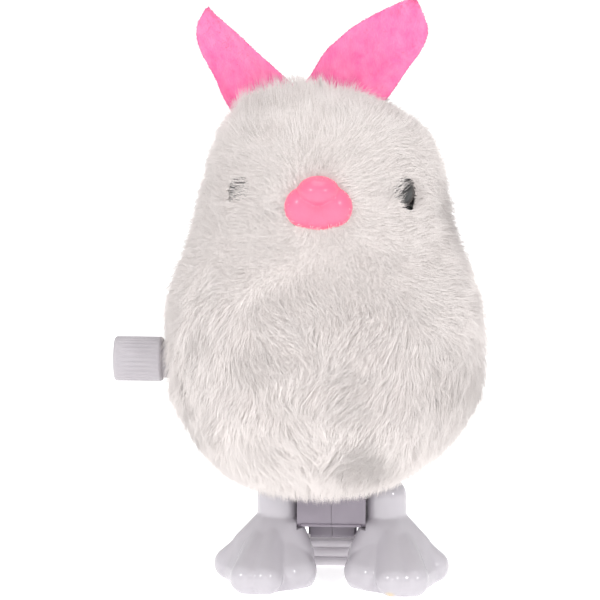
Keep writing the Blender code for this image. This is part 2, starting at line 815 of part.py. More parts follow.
def build_fork(mat, parent):
    """A forked lever on the pivot shaft; the crank pin turns between its tines."""
    slot_front, slot_back, slot_bottom = -3.5, 2.95, 4.85
    tine, top, root = 1.1, 9.2, 1.9
    outline = [
        (-root, -0.4), (root, -0.4), (root, 2.6),
        (slot_back + tine, slot_bottom - 0.6), (slot_back + tine, top),
        (slot_back, top), (slot_back, slot_bottom), (slot_front, slot_bottom), (slot_front, top),
        (slot_front - tine, top), (slot_front - tine, slot_bottom - 0.6), (-root, 2.6),
    ]
    fork = mesh_object("drive_fork", prism(shifted(outline, PIVOT), *FORK_X))
    hub = mesh_object("hub", rod(FORK_X[0] - 0.8, FORK_X[1] + 0.8, 2.1, PIVOT))
    join(fork, hub)
    cut(fork, mesh_object("bore", rod(-8.0, 8.0, SHAFT_RADIUS + FIXED_GAP, PIVOT)))
    finish_piece(fork, mat, parent)


# ---------------------------------------------------------------- feet

# Each ball is x, y, z and radius, for the right foot; a form is the skin stretched over its balls.
LEG_FORM = (
    (LEG_X - 0.2, -6.6, 14.5, LEG_RADIUS), (LEG_X + 0.25, -6.6, 14.5, LEG_RADIUS),
    (LEG_X - 0.2, -6.7, 9.4, LEG_RADIUS), (LEG_X + 0.3, -6.7, 9.4, LEG_RADIUS),
)
INSTEP_FORM = (
    (9.9, -7.0, 8.8, 3.9), (8.0, -8.3, 7.6, 3.7), (6.2, -10.3, 5.0, 3.3), (5.6, -11.8, 1.9, 3.1),
    (12.7, -15.4, 1.6, 3.2), (14.0, -8.0, 5.2, 3.5), (15.0, -11.0, 2.0, 2.8), (16.9, -7.8, 2.1, 2.8),
    (9.0, -1.6, 3.0, 3.5),
)
HEEL_FORM = ((8.7, 0.4, 3.0, 3.3), (9.4, -5.8, 8.0, 3.5))
TOE_FORMS = (
    ((8.6, -9.0, 7.0, 3.3), (5.3, -13.0, 2.8, 3.0), (7.0, -14.0, 2.6, 3.0)),
    ((10.0, -9.6, 7.4, 3.1), (10.8, -17.3, 2.7, 2.9)),
    ((11.2, -9.2, 7.2, 3.1), (14.2, -17.0, 2.7, 2.9)),
    ((11.6, -7.8, 7.4, 3.0), (17.6, -8.6, 2.6, 2.8)),
)


def foot_form(side):
    """The leg, instep, heel and toes as overlapping rounded forms, blended into one skin."""
    forms = (LEG_FORM, INSTEP_FORM, HEEL_FORM, *TOE_FORMS)
    parts = []
    for balls in forms:
        sided = [(side * x, y, z, radius) for x, y, z, radius in balls]
        parts.append(mesh_object("form", hull_of_balls(sided)))
    merged = parts[0]
    bm = bmesh.new()
    for part in parts:
        bm.from_mesh(part.data)
    for part in parts[1:]:
        bpy.data.objects.remove(part, do_unlink=True)
    bm.to_mesh(merged.data)
    bm.free()
    remesh = merged.modifiers.new("blend", "REMESH")
    remesh.mode = "VOXEL"
    remesh.voxel_size = FOOT_VOXEL
    smooth = merged.modifiers.new("soften", "SMOOTH")
    smooth.factor = 0.5
    smooth.iterations = 8
    thin = merged.modifiers.new("thin", "DECIMATE")
    thin.ratio = FOOT_KEEP
    return apply_modifiers(merged)


def bar_outline():
    """The joining bar's section: a flat back and round ribs stacked up the front."""
    pitch = BAR_HEIGHT / BAR_RIBS
    outline = [(BAR_HALF_DEPTH, 0.0), (BAR_HALF_DEPTH, BAR_HEIGHT)]
    for rib in reversed(range(BAR_RIBS)):
        middle = (rib + 0.5) * pitch
        for k in range(7):
            angle = math.pi / 2 - math.pi * k / 6
            bulge = 0.6 * math.cos(angle)
            outline.append((-BAR_HALF_DEPTH + 0.6 - bulge, middle + 0.96 * pitch / 2 * math.sin(angle)))
    outline[2] = (-BAR_HALF_DEPTH + 0.6, BAR_HEIGHT)
    outline[-1] = (-BAR_HALF_DEPTH + 0.6, 0.0)
    return outline


def build_foot(name, side, mat, parent):
    foot = foot_form(side)
    foot.name = name
    foot.data.name = name
    floor = mesh_object("floor", box((-40.0, -40.0, -20.0), (40.0, 40.0, 0.0)))
    gap = 0.15
    far = BAR_HALF_LENGTH + gap
    near = 1.0
    socket_low = (min(side * near, side * far), -BAR_HALF_DEPTH - gap, -1.0)
    socket_high = (max(side * near, side * far), BAR_HALF_DEPTH + gap, BAR_HEIGHT + gap)
    socket = mesh_object("socket", box(socket_low, socket_high))
    reach = sorted((side * 4.0, side * 11.7))
    hole = mesh_object("hole", rod(*reach, SHAFT_RADIUS + FIXED_GAP, PIVOT))
    cheek_low = (min(0.0, side * CHEEK_X), -14.0, CASE_BOTTOM - CHEEK_GAP)
    cheek_high = (max(0.0, side * CHEEK_X), 2.0, 20.0)
    cheek = mesh_object("cheek", box(cheek_low, cheek_high))
    cut(foot, floor, socket, hole, cheek)
    finish_piece(foot, mat, parent, sharp_angle=50.0)


def build_feet(plastic, nylon, steel, parent):
    build_foot("foot_left", -1, plastic, parent)
    build_foot("foot_right", 1, plastic, parent)
    piece("foot_bridge", prism(bar_outline(), -BAR_HALF_LENGTH, BAR_HALF_LENGTH), plastic, parent)
    build_fork(nylon, parent)
    piece("pivot_shaft", rod(-11.4, 11.4, SHAFT_RADIUS, PIVOT, bevel=0.15), steel, parent)


def main():
    clear_scene()
    plush = material("white_plush", (0.86, 0.82, 0.80), 0.95)
    felt = material("pink_felt", (0.95, 0.24, 0.52), 0.9)
    nose_plastic = material("pink_gloss", (0.96, 0.22, 0.36), 0.2)
    black = material("black_gloss", (0.01, 0.01, 0.01), 0.1)
    shell = material("shell_plastic", (0.85, 0.85, 0.87), 0.5)
    case = material("case_plastic", (0.62, 0.60, 0.66), 0.4)
    foot = material("foot_plastic", (0.66, 0.64, 0.70), 0.25)
    knob = material("knob_plastic", (0.66, 0.64, 0.68), 0.4)
    nylon = material("gear_nylon", (0.80, 0.80, 0.76), 0.45)
    steel = material("axle_steel", (0.56, 0.56, 0.58), 0.3, 1.0)
    spring_steel = material("spring_steel", (0.30, 0.32, 0.36), 0.35, 1.0)

    winder = axis_empty("winder_axis", *ARBOR)
    second = axis_empty("second_axis", *SECOND)
    crank = axis_empty("crank_axis", *CRANK)
    feet = axis_empty("feet_axis", *PIVOT)
    bpy.context.view_layer.update()

    build_plush(plush)
    build_shell(shell)
    build_nose(nose_plastic)
    build_eye("eye_left", -EYE_TURN, black)
    build_eye("eye_right", EYE_TURN, black)
    build_ear("ear_left", EAR_LEFT, felt)
    build_ear("ear_right", EAR_RIGHT, felt)
    build_case_half("gearbox_left", -1, case)
    build_case_half("gearbox_right", 1, case)
    build_screws(steel)
    build_spring(spring_steel)
    build_winder(steel, nylon, knob, winder)
    build_second(steel, nylon, second)
    build_crank(steel, nylon, crank)
    build_feet(foot, nylon, steel, feet)


main()
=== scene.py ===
"""Looks for the clockwork hopping rabbit: a pile cover of fine strands over its backing cloth, felt ears,
a glossy nose and eyes, a ribbed knob and moulded feet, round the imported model. Metres, +Z up."""

import json
import math

import bmesh
import bpy
import numpy as np
from mathutils import Matrix, Vector
from mathutils.bvhtree import BVHTree
from mathutils.kdtree import KDTree


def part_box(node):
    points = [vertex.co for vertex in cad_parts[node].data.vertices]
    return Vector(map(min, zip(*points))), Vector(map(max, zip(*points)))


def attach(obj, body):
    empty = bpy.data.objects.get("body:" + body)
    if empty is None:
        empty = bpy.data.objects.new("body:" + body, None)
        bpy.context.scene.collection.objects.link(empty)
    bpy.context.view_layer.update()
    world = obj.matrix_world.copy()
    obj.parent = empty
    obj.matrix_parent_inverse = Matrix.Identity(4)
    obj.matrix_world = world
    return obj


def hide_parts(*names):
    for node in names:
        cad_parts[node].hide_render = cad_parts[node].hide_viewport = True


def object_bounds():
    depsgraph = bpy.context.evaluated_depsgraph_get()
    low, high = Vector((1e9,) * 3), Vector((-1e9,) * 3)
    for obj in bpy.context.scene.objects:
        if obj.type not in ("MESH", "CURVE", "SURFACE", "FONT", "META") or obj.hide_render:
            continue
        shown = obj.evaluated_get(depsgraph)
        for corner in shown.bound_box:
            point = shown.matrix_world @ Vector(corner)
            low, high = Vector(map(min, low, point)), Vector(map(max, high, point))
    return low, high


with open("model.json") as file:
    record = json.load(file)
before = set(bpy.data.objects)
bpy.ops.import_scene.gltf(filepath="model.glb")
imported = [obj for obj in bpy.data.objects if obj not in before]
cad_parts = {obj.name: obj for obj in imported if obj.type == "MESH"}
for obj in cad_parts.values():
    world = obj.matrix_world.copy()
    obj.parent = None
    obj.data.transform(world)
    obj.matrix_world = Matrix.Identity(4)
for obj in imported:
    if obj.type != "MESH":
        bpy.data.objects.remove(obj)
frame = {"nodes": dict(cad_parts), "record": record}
cad_low, cad_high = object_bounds()
nodes = frame["nodes"]
MM = 0.001
rng = np.random.default_rng(23)

# ------------ driving dimensions

GUARD_COUNT = 150000
GUARD_RADII = (0.026 * MM, 0.024 * MM)
GUARD_DEPTH = 1.5 * MM
HEAD_GUARD_LENGTH = 3.4 * MM
BELLY_GUARD_LENGTH = 5.2 * MM
CROWN_GUARD_LENGTH = 4.6 * MM
TUFT_STRANDS = 60
UNDERFUR_COUNT = 260000
UNDERFUR_RADII = (0.045 * MM,)
UNDERFUR_DEPTH = 1.15 * MM
PILE_SOFTNESS = 0.8
STRAY_SHARE = 0.35
HOLLOW_LIMIT = 0.06
BACKING_DEPTH = 1.0 * MM
BACKING_THICKNESS = 0.9 * MM
BACKING_GRID = (150, 240)

cover_low, cover_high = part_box("plush_cover")
BODY_MIDDLE = (cover_low + cover_high) / 2
BODY_HALF = (cover_high - cover_low) / 2
BODY_DEPTH_RATIO = BODY_HALF.y / BODY_HALF.x

# The cover's side outline: share of its height and share of its half-width, from under the rim to the crown.
OUTLINE = (
    (0.005, 0.36), (-0.002, 0.46), (0.010, 0.575), (0.038, 0.680), (0.090, 0.810), (0.148, 0.904),
    (0.226, 0.985), (0.304, 1.002), (0.381, 1.002), (0.458, 0.985), (0.535, 0.925), (0.615, 0.852),
    (0.712, 0.792), (0.814, 0.728), (0.889, 0.646), (0.939, 0.530), (0.976, 0.373), (0.996, 0.179),
    (1.003, 0.0),
)

# Where the cover's two sides differ: height, reach up and down, then how far its left and right are drawn
# in.
TUCKS = (
    (13 * MM, 4 * MM, 1.3 * MM, 0.0), (19 * MM, 8 * MM, 0.0, 1.6 * MM), (29 * MM, 6 * MM, 0.4 * MM, 0.0),
    (66 * MM, 6 * MM, 0.0, 0.3 * MM), (75 * MM, 5 * MM, -0.1 * MM, -0.4 * MM),
    (83 * MM, 4 * MM, -1.0 * MM, 1.2 * MM),
)

nose_low, nose_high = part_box("nose")
NOSE_MIDDLE = (nose_low + nose_high) / 2
CLOTH_UNDER_NOSE = 1.6 * MM
PILE_UNDER_NOSE = 1.7 * MM
knob_low, knob_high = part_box("winding_knob")
KNOB_AXIS = (knob_low + knob_high) / 2
KNOB_OPENING = 4.0 * MM

# The gap in the pile over each eye: shift away from the nose, half width and half height.
EYE_OPENINGS = {
    "eye_left": (1.7 * MM, 0.75 * MM, 1.7 * MM),
    "eye_right": (1.0 * MM, 1.7 * MM, 2.75 * MM),
}
EYE_CROSSING = 0.1  # share of the hairs across a gap that stay
EYE_HOLE_MARGIN = 0.6 * MM  # how much wider the cloth's holes are than the gaps
EYE_REACH = 6 * MM  # how deep behind an eye a place still belongs to it
RIM_PULL = 1.8  # how far out the cloth's cut edge is still drawn to the hole's rim, 1 being the rim
FAR_OFF = 1.0  # distance given to a place on the wrong side of the body
OUT_OF_REACH = 9.0  # the same, in widths of an eye's gap


# ------------ helpers: numbers

def smooth_line(points, count):
    """Points evenly shared along a smooth curve through the given ones (Catmull-Rom)."""
    points = np.array(points, float)
    before = 2 * points[0] - points[1]
    after = 2 * points[-1] - points[-2]
    padded = np.vstack([before, points, after])
    place = np.linspace(0, len(points) - 1, count)
    start = np.minimum(place.astype(int), len(points) - 2)
    t = (place - start)[:, None]
    a, b, c, d = (padded[start + k] for k in range(4))
    return 0.5 * (2 * b + (c - a) * t + (2 * a - 5 * b + 4 * c - d) * t ** 2
                  + (3 * b - a - 3 * c + d) * t ** 3)


def step(value, low, high):
    """0 below low, 1 above high, and a smooth rise between."""
    t = np.clip((value - low) / (high - low), 0, 1)
    return t * t * (3 - 2 * t)


def unit(vectors):
    return vectors / np.maximum(np.linalg.norm(vectors, axis=-1, keepdims=True), 1e-12)


def soft_noise(points, size, seed, waves=12):
    """A smooth random field about -1 to 1, whose lumps are about size across."""
    local = np.random.default_rng(seed)
    total = np.zeros(len(points))
    for _ in range(waves):
        direction = unit(local.normal(size=3)) * local.uniform(0.6, 1.5) * math.pi / size
        total += np.sin(points @ direction + local.uniform(0, 2 * math.pi))
    return total / math.sqrt(waves / 2)


# ------------ helpers: meshes

def linked(name, data):
    """A new object in the scene, for a mesh, a light or a camera."""
    made = bpy.data.objects.new(name, data)
    bpy.context.scene.collection.objects.link(made)
    return made


def mesh_piece(name, points, faces):
    mesh = bpy.data.meshes.new(name)
    mesh.from_pydata([tuple(p) for p in points], [], faces)
    mesh.update()
    mesh.shade_smooth()
    return linked(name, mesh)


def bmesh_piece(name, bm):
    mesh = bpy.data.meshes.new(name)
    bm.to_mesh(mesh)
    bm.free()
    return linked(name, mesh)


def ring_faces(rings, count):
    """Faces between that many rings of count points, each ring closed on itself."""
    faces = []
    for row in range(rings - 1):
        for k in range(count):
            after = (k + 1) % count
            faces.append((row * count + k, row * count + after,
                          (row + 1) * count + after, (row + 1) * count + k))
    return faces


def skin_of_rings(rings):
    """Points and faces over rings of equal length, with both ends capped."""
    count = len(rings[0])
    points = [p for ring in rings for p in ring]
    faces = ring_faces(len(rings), count)
    faces.append(tuple(reversed(range(count))))
    faces.append(tuple((len(rings) - 1) * count + k for k in range(count)))
    return points, faces


def apply_modifiers(made):
    graph = bpy.context.evaluated_depsgraph_get()
    mesh = bpy.data.meshes.new_from_object(made.evaluated_get(graph))
    made.modifiers.clear()
    made.data = mesh


def blend_skin(made, voxel, smoothing):
    """Run a piece's overlapping forms into one skin and soften it."""
    remesh = made.modifiers.new("blend", "REMESH")
    remesh.mode = "VOXEL"
    remesh.voxel_size = voxel
    soften = made.modifiers.new("soften", "SMOOTH")
    soften.factor = 0.5
    soften.iterations = smoothing
    apply_modifiers(made)


def strands(name, stations, radii, shade, lit=None):
    """Many closed, tapered three-sided strands as one mesh. stations is strand by station by xyz, and
    radii has one radius for each station but the last, which is the strand's point. lit is the direction
    that each strand's shading leans to, so that light carries softly through a dense pile."""
    count, length, _ = stations.shape
    ahead = unit(np.gradient(stations, axis=1))
    helper = np.where(np.abs(ahead[..., 2:3]) < 0.8, [0.0, 0.0, 1.0], [1.0, 0.0, 0.0])
    side = unit(np.cross(helper, ahead))
    other = np.cross(ahead, side)
    corners = []
    for k in range(length - 1):
        for turn in range(3):
            angle = 2 * math.pi * turn / 3
            offset = math.cos(angle) * side[:, k] + math.sin(angle) * other[:, k]
            corners.append(stations[:, k] + offset * radii[k])
    corners.append(stations[:, -1])
    points = np.stack(corners, axis=1)
    per_strand = points.shape[1]
    triangles = [(2, 1, 0)]
    for k in range(length - 2):
        for turn in range(3):
            a, b = 3 * k + turn, 3 * k + (turn + 1) % 3
            triangles += [(a, b, b + 3), (a, b + 3, a + 3)]
    last = 3 * (length - 2)
    for turn in range(3):
        triangles.append((last + turn, last + (turn + 1) % 3, per_strand - 1))
    triangles = np.array(triangles)
    faces = (np.arange(count)[:, None, None] * per_strand + triangles[None]).reshape(-1)
    mesh = bpy.data.meshes.new(name)
    mesh.vertices.add(count * per_strand)
    mesh.vertices.foreach_set("co", points.astype(np.float32).ravel())
    mesh.loops.add(len(faces))
    mesh.loops.foreach_set("vertex_index", faces.astype(np.int32))
    mesh.polygons.add(len(faces) // 3)
    mesh.polygons.foreach_set("loop_start", np.arange(0, len(faces), 3, dtype=np.int32))
    mesh.update(calc_edges=True)
    mesh.shade_smooth()
    if lit is not None:
        own = unit(points - np.repeat(stations, [3] * (length - 1) + [1], axis=1))
        own[:, -1] = ahead[:, -1]
        soft = unit(own * (1 - PILE_SOFTNESS) + lit[:, None] * PILE_SOFTNESS).astype(np.float32)
        lit_normals = mesh.attributes.new("custom_normal", "FLOAT_VECTOR", "POINT")
        lit_normals.data.foreach_set("vector", soft.ravel())
    along = np.repeat(np.linspace(0, 1, length), [3] * (length - 1) + [1])
    for key, values in (("along", np.tile(along, count)), ("shade", np.repeat(shade, per_strand))):
        mesh.attributes.new(key, "FLOAT", "POINT").data.foreach_set("value", values.astype(np.float32))
    return linked(name, mesh)


def dress(piece, body, mat):
    """Material, body and slot of a new piece."""
    piece.data.materials.clear()
    piece.data.materials.append(mat)
    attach(piece, body)
    return piece


# ------------ materials

class Finish:
    """A Principled material whose colour, roughness and relief come from procedural nodes."""

    def __init__(self, name, roughness, metallic=0.0, **sockets):
        self.mat = bpy.data.materials.new(name)
        self.mat.use_nodes = True
        self.nodes = self.mat.node_tree.nodes
        self.links = self.mat.node_tree.links
        self.shader = self.nodes["Principled BSDF"]
        self.shader.inputs["Roughness"].default_value = roughness
        self.shader.inputs["Metallic"].default_value = metallic
        for socket, value in sockets.items():
            self.shader.inputs[socket.replace("_", " ")].default_value = value
        self.place = self.nodes.new("ShaderNodeTexCoord").outputs["Object"]

    def noise(self, size, detail=3.0, stretch=(1.0, 1.0, 1.0), low=0.35, high=0.65):
        """Noise with features of that size, spread over 0 to 1."""
        mapping = self.nodes.new("ShaderNodeMapping")
        mapping.inputs["Scale"].default_value = stretch
        self.links.new(self.place, mapping.inputs["Vector"])
        noise = self.nodes.new("ShaderNodeTexNoise")
        noise.inputs["Scale"].default_value = 1 / size
        noise.inputs["Detail"].default_value = detail
        self.links.new(mapping.outputs["Vector"], noise.inputs["Vector"])
        return self.spread(noise.outputs["Fac"], low, high)

    def spread(self, value, low, high, to_low=0.0, to_high=1.0):
        spread = self.nodes.new("ShaderNodeMapRange")
        ends = {"From Min": low, "From Max": high, "To Min": to_low, "To Max": to_high}
        for socket, number in ends.items():
            spread.inputs[socket].default_value = number
        self.links.new(value, spread.inputs["Value"])
        return spread.outputs["Result"]

    def attribute(self, name):
        found = self.nodes.new("ShaderNodeAttribute")
        found.attribute_name = name
        return found.outputs["Fac"]

    def mix(self, share, first, second):
        """The first colour where share is 0 and the second where it is 1."""
        mix = self.nodes.new("ShaderNodeMix")
        mix.data_type = "RGBA"
        self.links.new(share, mix.inputs["Factor"])
        for socket, value in ((mix.inputs[6], first), (mix.inputs[7], second)):
            if isinstance(value, tuple):
                socket.default_value = (*value, 1.0)
            else:
                self.links.new(value, socket)
        return mix.outputs[2]

    def near(self, point, inner, outer):
        """1 within the inner distance of a point, 0 beyond the outer."""
        apart = self.nodes.new("ShaderNodeVectorMath")
        apart.operation = "DISTANCE"
        self.links.new(self.place, apart.inputs[0])
        apart.inputs[1].default_value = point
        return self.spread(apart.outputs["Value"], outer, inner)

    def colour(self, output):
        self.links.new(output, self.shader.inputs["Base Color"])
        return self

    def rough(self, value, low, high):
        self.links.new(self.spread(value, 0.0, 1.0, low, high), self.shader.inputs["Roughness"])
        return self

    def relief(self, value, depth, strength=1.0):
        bump = self.nodes.new("ShaderNodeBump")
        bump.inputs["Strength"].default_value = strength
        bump.inputs["Distance"].default_value = depth
        self.links.new(value, bump.inputs["Height"])
        self.links.new(bump.outputs["Normal"], self.shader.inputs["Normal"])
        return self


def pile_finish():
    """Synthetic pile: near white, a little warmer and darker from tuft to tuft, with painted shade at the
    roots, warmer and darker where they sit deep in the pile.
    """
    made = Finish("pile_fibre", 0.85, Specular_IOR_Level=0.1)
    tufts = made.noise(4.0 * MM, 2.0)
    tips = made.mix(tufts, (0.855, 0.795, 0.772), (0.885, 0.828, 0.806))
    toned = made.mix(made.spread(made.attribute("shade"), 0, 1, 0, 0.2), tips, (0.835, 0.772, 0.748))
    # painted shade: each fibre is coloured warmer and darker towards its root, deep in the pile
    root = made.spread(made.attribute("along"), 0.0, 0.5, 0.2, 0.0)
    return made.colour(made.mix(root, toned, (0.83, 0.762, 0.738))).mat


def backing_finish():
    """The knitted backing that the pile grows from."""
    made = Finish("pile_backing", 0.9)
    knit = made.noise(0.45 * MM, 1.0, (1.0, 1.0, 1.8))
    made.relief(knit, 0.05 * MM, 0.4)
    return made.colour(made.mix(knit, (0.83, 0.765, 0.742), (0.86, 0.80, 0.778))).mat


def felt_finish():
    """Pressed pink felt: mottled in small patches, with matted fibres and no gloss."""
    made = Finish("pink_felt_fibre", 0.95, Sheen_Weight=0.35, Sheen_Roughness=0.6)
    mottle = made.noise(1.6 * MM, 5.0, (1.0, 1.0, 0.7), 0.3, 0.7)
    matted = made.noise(0.2 * MM, 2.0, (1.0, 1.0, 0.35), 0.3, 0.7)
    base = made.mix(mottle, (0.79, 0.095, 0.30), (0.84, 0.18, 0.385))
    made.relief(matted, 0.05 * MM, 0.5)
    return made.colour(made.mix(made.spread(matted, 0, 1, 0.0, 0.14), base, (0.90, 0.37, 0.55))).mat


def gloss_finish(name, dark, light, roughness, coat):
    """Polished plastic with faint flow marks."""
    made = Finish(name, roughness, Coat_Weight=coat, Coat_Roughness=0.12)
    flow = made.noise(2.2 * MM, 2.0)
    made.rough(made.noise(0.9 * MM, 3.0), roughness * 0.85, roughness * 1.25)
    return made.colour(made.mix(flow, dark, light)).mat


def moulded_finish(name, dark, light, roughness, grain=0.02, stain=None):
    """Injection-moulded plastic: slight cloudiness, fine surface grain, scuffed roughness."""
    made = Finish(name, roughness)
    cloud = made.noise(3.5 * MM, 3.0)
    made.rough(made.noise(3.0 * MM, 2.0), roughness * 0.92, roughness * 1.1)
    if grain:
        made.relief(made.noise(0.22 * MM, 2.0), grain * MM, 0.5)
    tone = made.mix(cloud, dark, light)
    if stain is not None:
        patch = made.near(stain, 0.35 * MM, 1.15 * MM)
        tone = made.mix(patch, tone, (0.62, 0.50, 0.33))
    return made.colour(tone).mat


def metal_finish(name, dark, light, roughness, stretch):
    """Turned or drawn steel with fine tool marks."""
    made = Finish(name, roughness, metallic=1.0)
    marks = made.noise(0.12 * MM, 3.0, stretch)
    made.rough(marks, roughness * 0.75, roughness * 1.35)
    made.relief(marks, 0.01 * MM, 0.4)
    return made.colour(made.mix(marks, dark, light)).mat


right_sole_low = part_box("foot_right")[0]
STAIN = (right_sole_low.x + 7.8 * MM, right_sole_low.y + 0.6 * MM, 0.35 * MM)

pile = pile_finish()
backing = backing_finish()
felt = felt_finish()
nose_gloss = gloss_finish("nose_gloss", (0.96, 0.125, 0.235), (0.97, 0.13, 0.24), 0.34, 0.12)
eye_gloss = gloss_finish("eye_gloss", (0.006, 0.006, 0.007), (0.014, 0.013, 0.013), 0.12, 0.1)
foot_plastic = moulded_finish("foot_moulding", (0.505, 0.48, 0.515), (0.52, 0.495, 0.53), 0.17, 0.0, STAIN)
knob_plastic = moulded_finish("knob_moulding", (0.385, 0.36, 0.385), (0.41, 0.385, 0.41), 0.42, 0.004)
case_plastic = moulded_finish("case_moulding", (0.26, 0.228, 0.27), (0.28, 0.247, 0.29), 0.4, 0.004)
# painted light: the bridge is the feet's own plastic, coloured much lighter than the feet to lift the shade
# it sits in between the legs
bridge_plastic_painted_light = moulded_finish("bridge_moulding_painted_light", (0.77, 0.735, 0.77), (0.81, 0.775, 0.81), 0.4, 0.004)
shell_plastic = moulded_finish("shell_moulding", (0.70, 0.70, 0.72), (0.80, 0.80, 0.82), 0.5, 0.03)
gear_nylon = moulded_finish("gear_nylon_moulding", (0.78, 0.76, 0.70), (0.86, 0.84, 0.78), 0.45, 0.008)
axle_steel = metal_finish("axle_drawn_steel", (0.52, 0.52, 0.53), (0.66, 0.66, 0.67), 0.3, (8.0, 1.0, 1.0))
spring_steel = metal_finish("spring_blued_steel", (0.30, 0.31, 0.36), (0.42, 0.43, 0.48), 0.34,
                            (1.0, 6.0, 6.0))
screw_steel = metal_finish("screw_plated_steel", (0.60, 0.60, 0.58), (0.74, 0.74, 0.72), 0.28,
                           (1.0, 5.0, 5.0))

# the foot_plastic slot, worn by the foot bridge, takes the lighter copy with painted light
FINISH_OF_SLOT = {
    "foot_plastic": bridge_plastic_painted_light, "case_plastic": case_plastic, "shell_plastic": shell_plastic,
    "gear_nylon": gear_nylon, "axle_steel": axle_steel, "spring_steel": spring_steel,
    "screw_steel": screw_steel, "white_plush": backing, "pink_felt": felt, "pink_gloss": nose_gloss,
    "black_gloss": eye_gloss, "knob_plastic": knob_plastic,
}


def dress_frame():
    """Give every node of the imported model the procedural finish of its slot."""
    for row in frame["record"]["subparts"]:
        carried = nodes[row["node"]]
        carried.data.materials.clear()
        carried.data.materials.append(FINISH_OF_SLOT[row["material_slot"]])


# ------------ the body's surface

class BodySurface:
    """The round surface that the pile's tips make: places on it by share of its area and by turn."""

    def __init__(self):
        line = smooth_line(OUTLINE, 900)
        self.z = cover_low.z + line[:, 0] * BODY_HALF.z * 2
        self.r = np.maximum(line[:, 1], 0) * BODY_HALF.x
        along = np.hypot(np.diff(self.z), np.diff(self.r))
        strips = along * 2 * math.pi * (self.r[1:] + self.r[:-1]) / 2 * (1 + BODY_DEPTH_RATIO) / 2
        self.length = along.sum()
        self.area = strips.sum()
        self.share = np.concatenate([[0], np.cumsum(strips)]) / self.area
        self.rise = np.gradient(self.z)
        self.widen = np.gradient(self.r)

    def at(self, share, turn):
        """Point and outward normal. Turn 0 faces the front and grows towards +X."""
        row = np.interp(share, self.share, np.arange(len(self.z)))
        z, r, rise, widen = (np.interp(row, np.arange(len(self.z)), v)
                             for v in (self.z, self.r, self.rise, self.widen))
        point = np.stack([BODY_MIDDLE.x + r * np.sin(turn),
                          BODY_MIDDLE.y - r * BODY_DEPTH_RATIO * np.cos(turn), z], axis=-1)
        normal = np.stack([rise * np.sin(turn), -rise * np.cos(turn) / BODY_DEPTH_RATIO, -widen], axis=-1)
        normal = unit(normal)
        for height, spread, left, right in TUCKS:
            drawn = np.where(np.sin(turn) < 0, left, right) * np.sin(turn) ** 2
            point = point - normal * (drawn * np.exp(-((z - height) / spread) ** 2))[..., None]
        return point, normal


surface = BodySurface()


def packed_corners(name):
    return np.array([tuple(v.co) for v in nodes[name].data.vertices])


def part_axis(name):
    """A turned face part's axis: its middle and its outward direction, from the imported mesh."""
    corners = packed_corners(name)
    middle = corners.mean(axis=0)
    out = middle - np.array([BODY_MIDDLE.x, BODY_MIDDLE.y, middle[2]])
    pole = corners[np.argmax(corners @ unit(out))]
    return middle, unit(pole - middle)


eye_axes = {name: part_axis(name) for name in ("eye_left", "eye_right")}


def nose_distance(points):
    """How far each point lies from the nose's outline, seen from the front; negative inside."""
    across = (points[:, 0] - NOSE_MIDDLE.x) / ((nose_high.x - nose_low.x) / 2)
    up = (points[:, 2] - NOSE_MIDDLE.z) / ((nose_high.z - nose_low.z) / 2)
    apart = (np.hypot(across, up) - 1) * (nose_high.z - nose_low.z) / 2
    return np.where(points[:, 1] < BODY_MIDDLE.y, apart, FAR_OFF)


def eye_distance(points, name):
    """How far beside an eye's axis each point lies; far off for points behind the eye."""
    middle, out = eye_axes[name]
    offset = points - middle
    beside = offset - (offset @ out)[:, None] * out
    return np.where(offset @ out > -EYE_REACH, np.linalg.norm(beside, axis=1), FAR_OFF)


def eye_aside(name):
    """Sideways from an eye, away from the nose."""
    out = eye_axes[name][1]
    return unit(np.cross([0.0, 0.0, 1.0], out)) * np.sign(out[0])


def eye_opening(points, name, margin=0.0):
    """How far out each point is in the gap in the pile that shows an eye: 1 on its rim, less inside.
    The gap lies on the eye's side away from the nose."""
    middle, out = eye_axes[name]
    shift, half_wide, half_tall = EYE_OPENINGS[name]
    across = (points - middle) @ eye_aside(name) - shift
    up = (points - middle)[:, 2]
    outward = np.hypot(across / (half_wide + margin), up / (half_tall + margin))
    return np.where((points - middle) @ out > -EYE_REACH, outward, OUT_OF_REACH)


def in_eye_opening(points, name, margin=0.0):
    return eye_opening(points, name, margin) < 1


def round_eye_holes(bm, margin):
    """Move the cloth's cut edges on to the rims of the eye openings."""
    edge = {v for e in bm.edges if len(e.link_faces) == 1 for v in e.verts}
    for name in eye_axes:
        middle, out = eye_axes[name]
        centre = middle + eye_aside(name) * EYE_OPENINGS[name][0]
        for corner in edge:
            place = np.array(corner.co)
            outward = eye_opening(place[None], name, margin)[0]
            if outward < RIM_PULL:
                offset = place - centre
                beside = offset - (offset @ out) * out
                corner.co = Vector(place - beside + beside / outward)


def knob_distance(points):
    """How far each point lies from the knob's axis; far off on the other side of the body."""
    beside = np.hypot(points[:, 1] - KNOB_AXIS.y, points[:, 2] - KNOB_AXIS.z)
    return np.where(points[:, 0] < BODY_MIDDLE.x, beside, FAR_OFF)


# ------------ the backing cloth

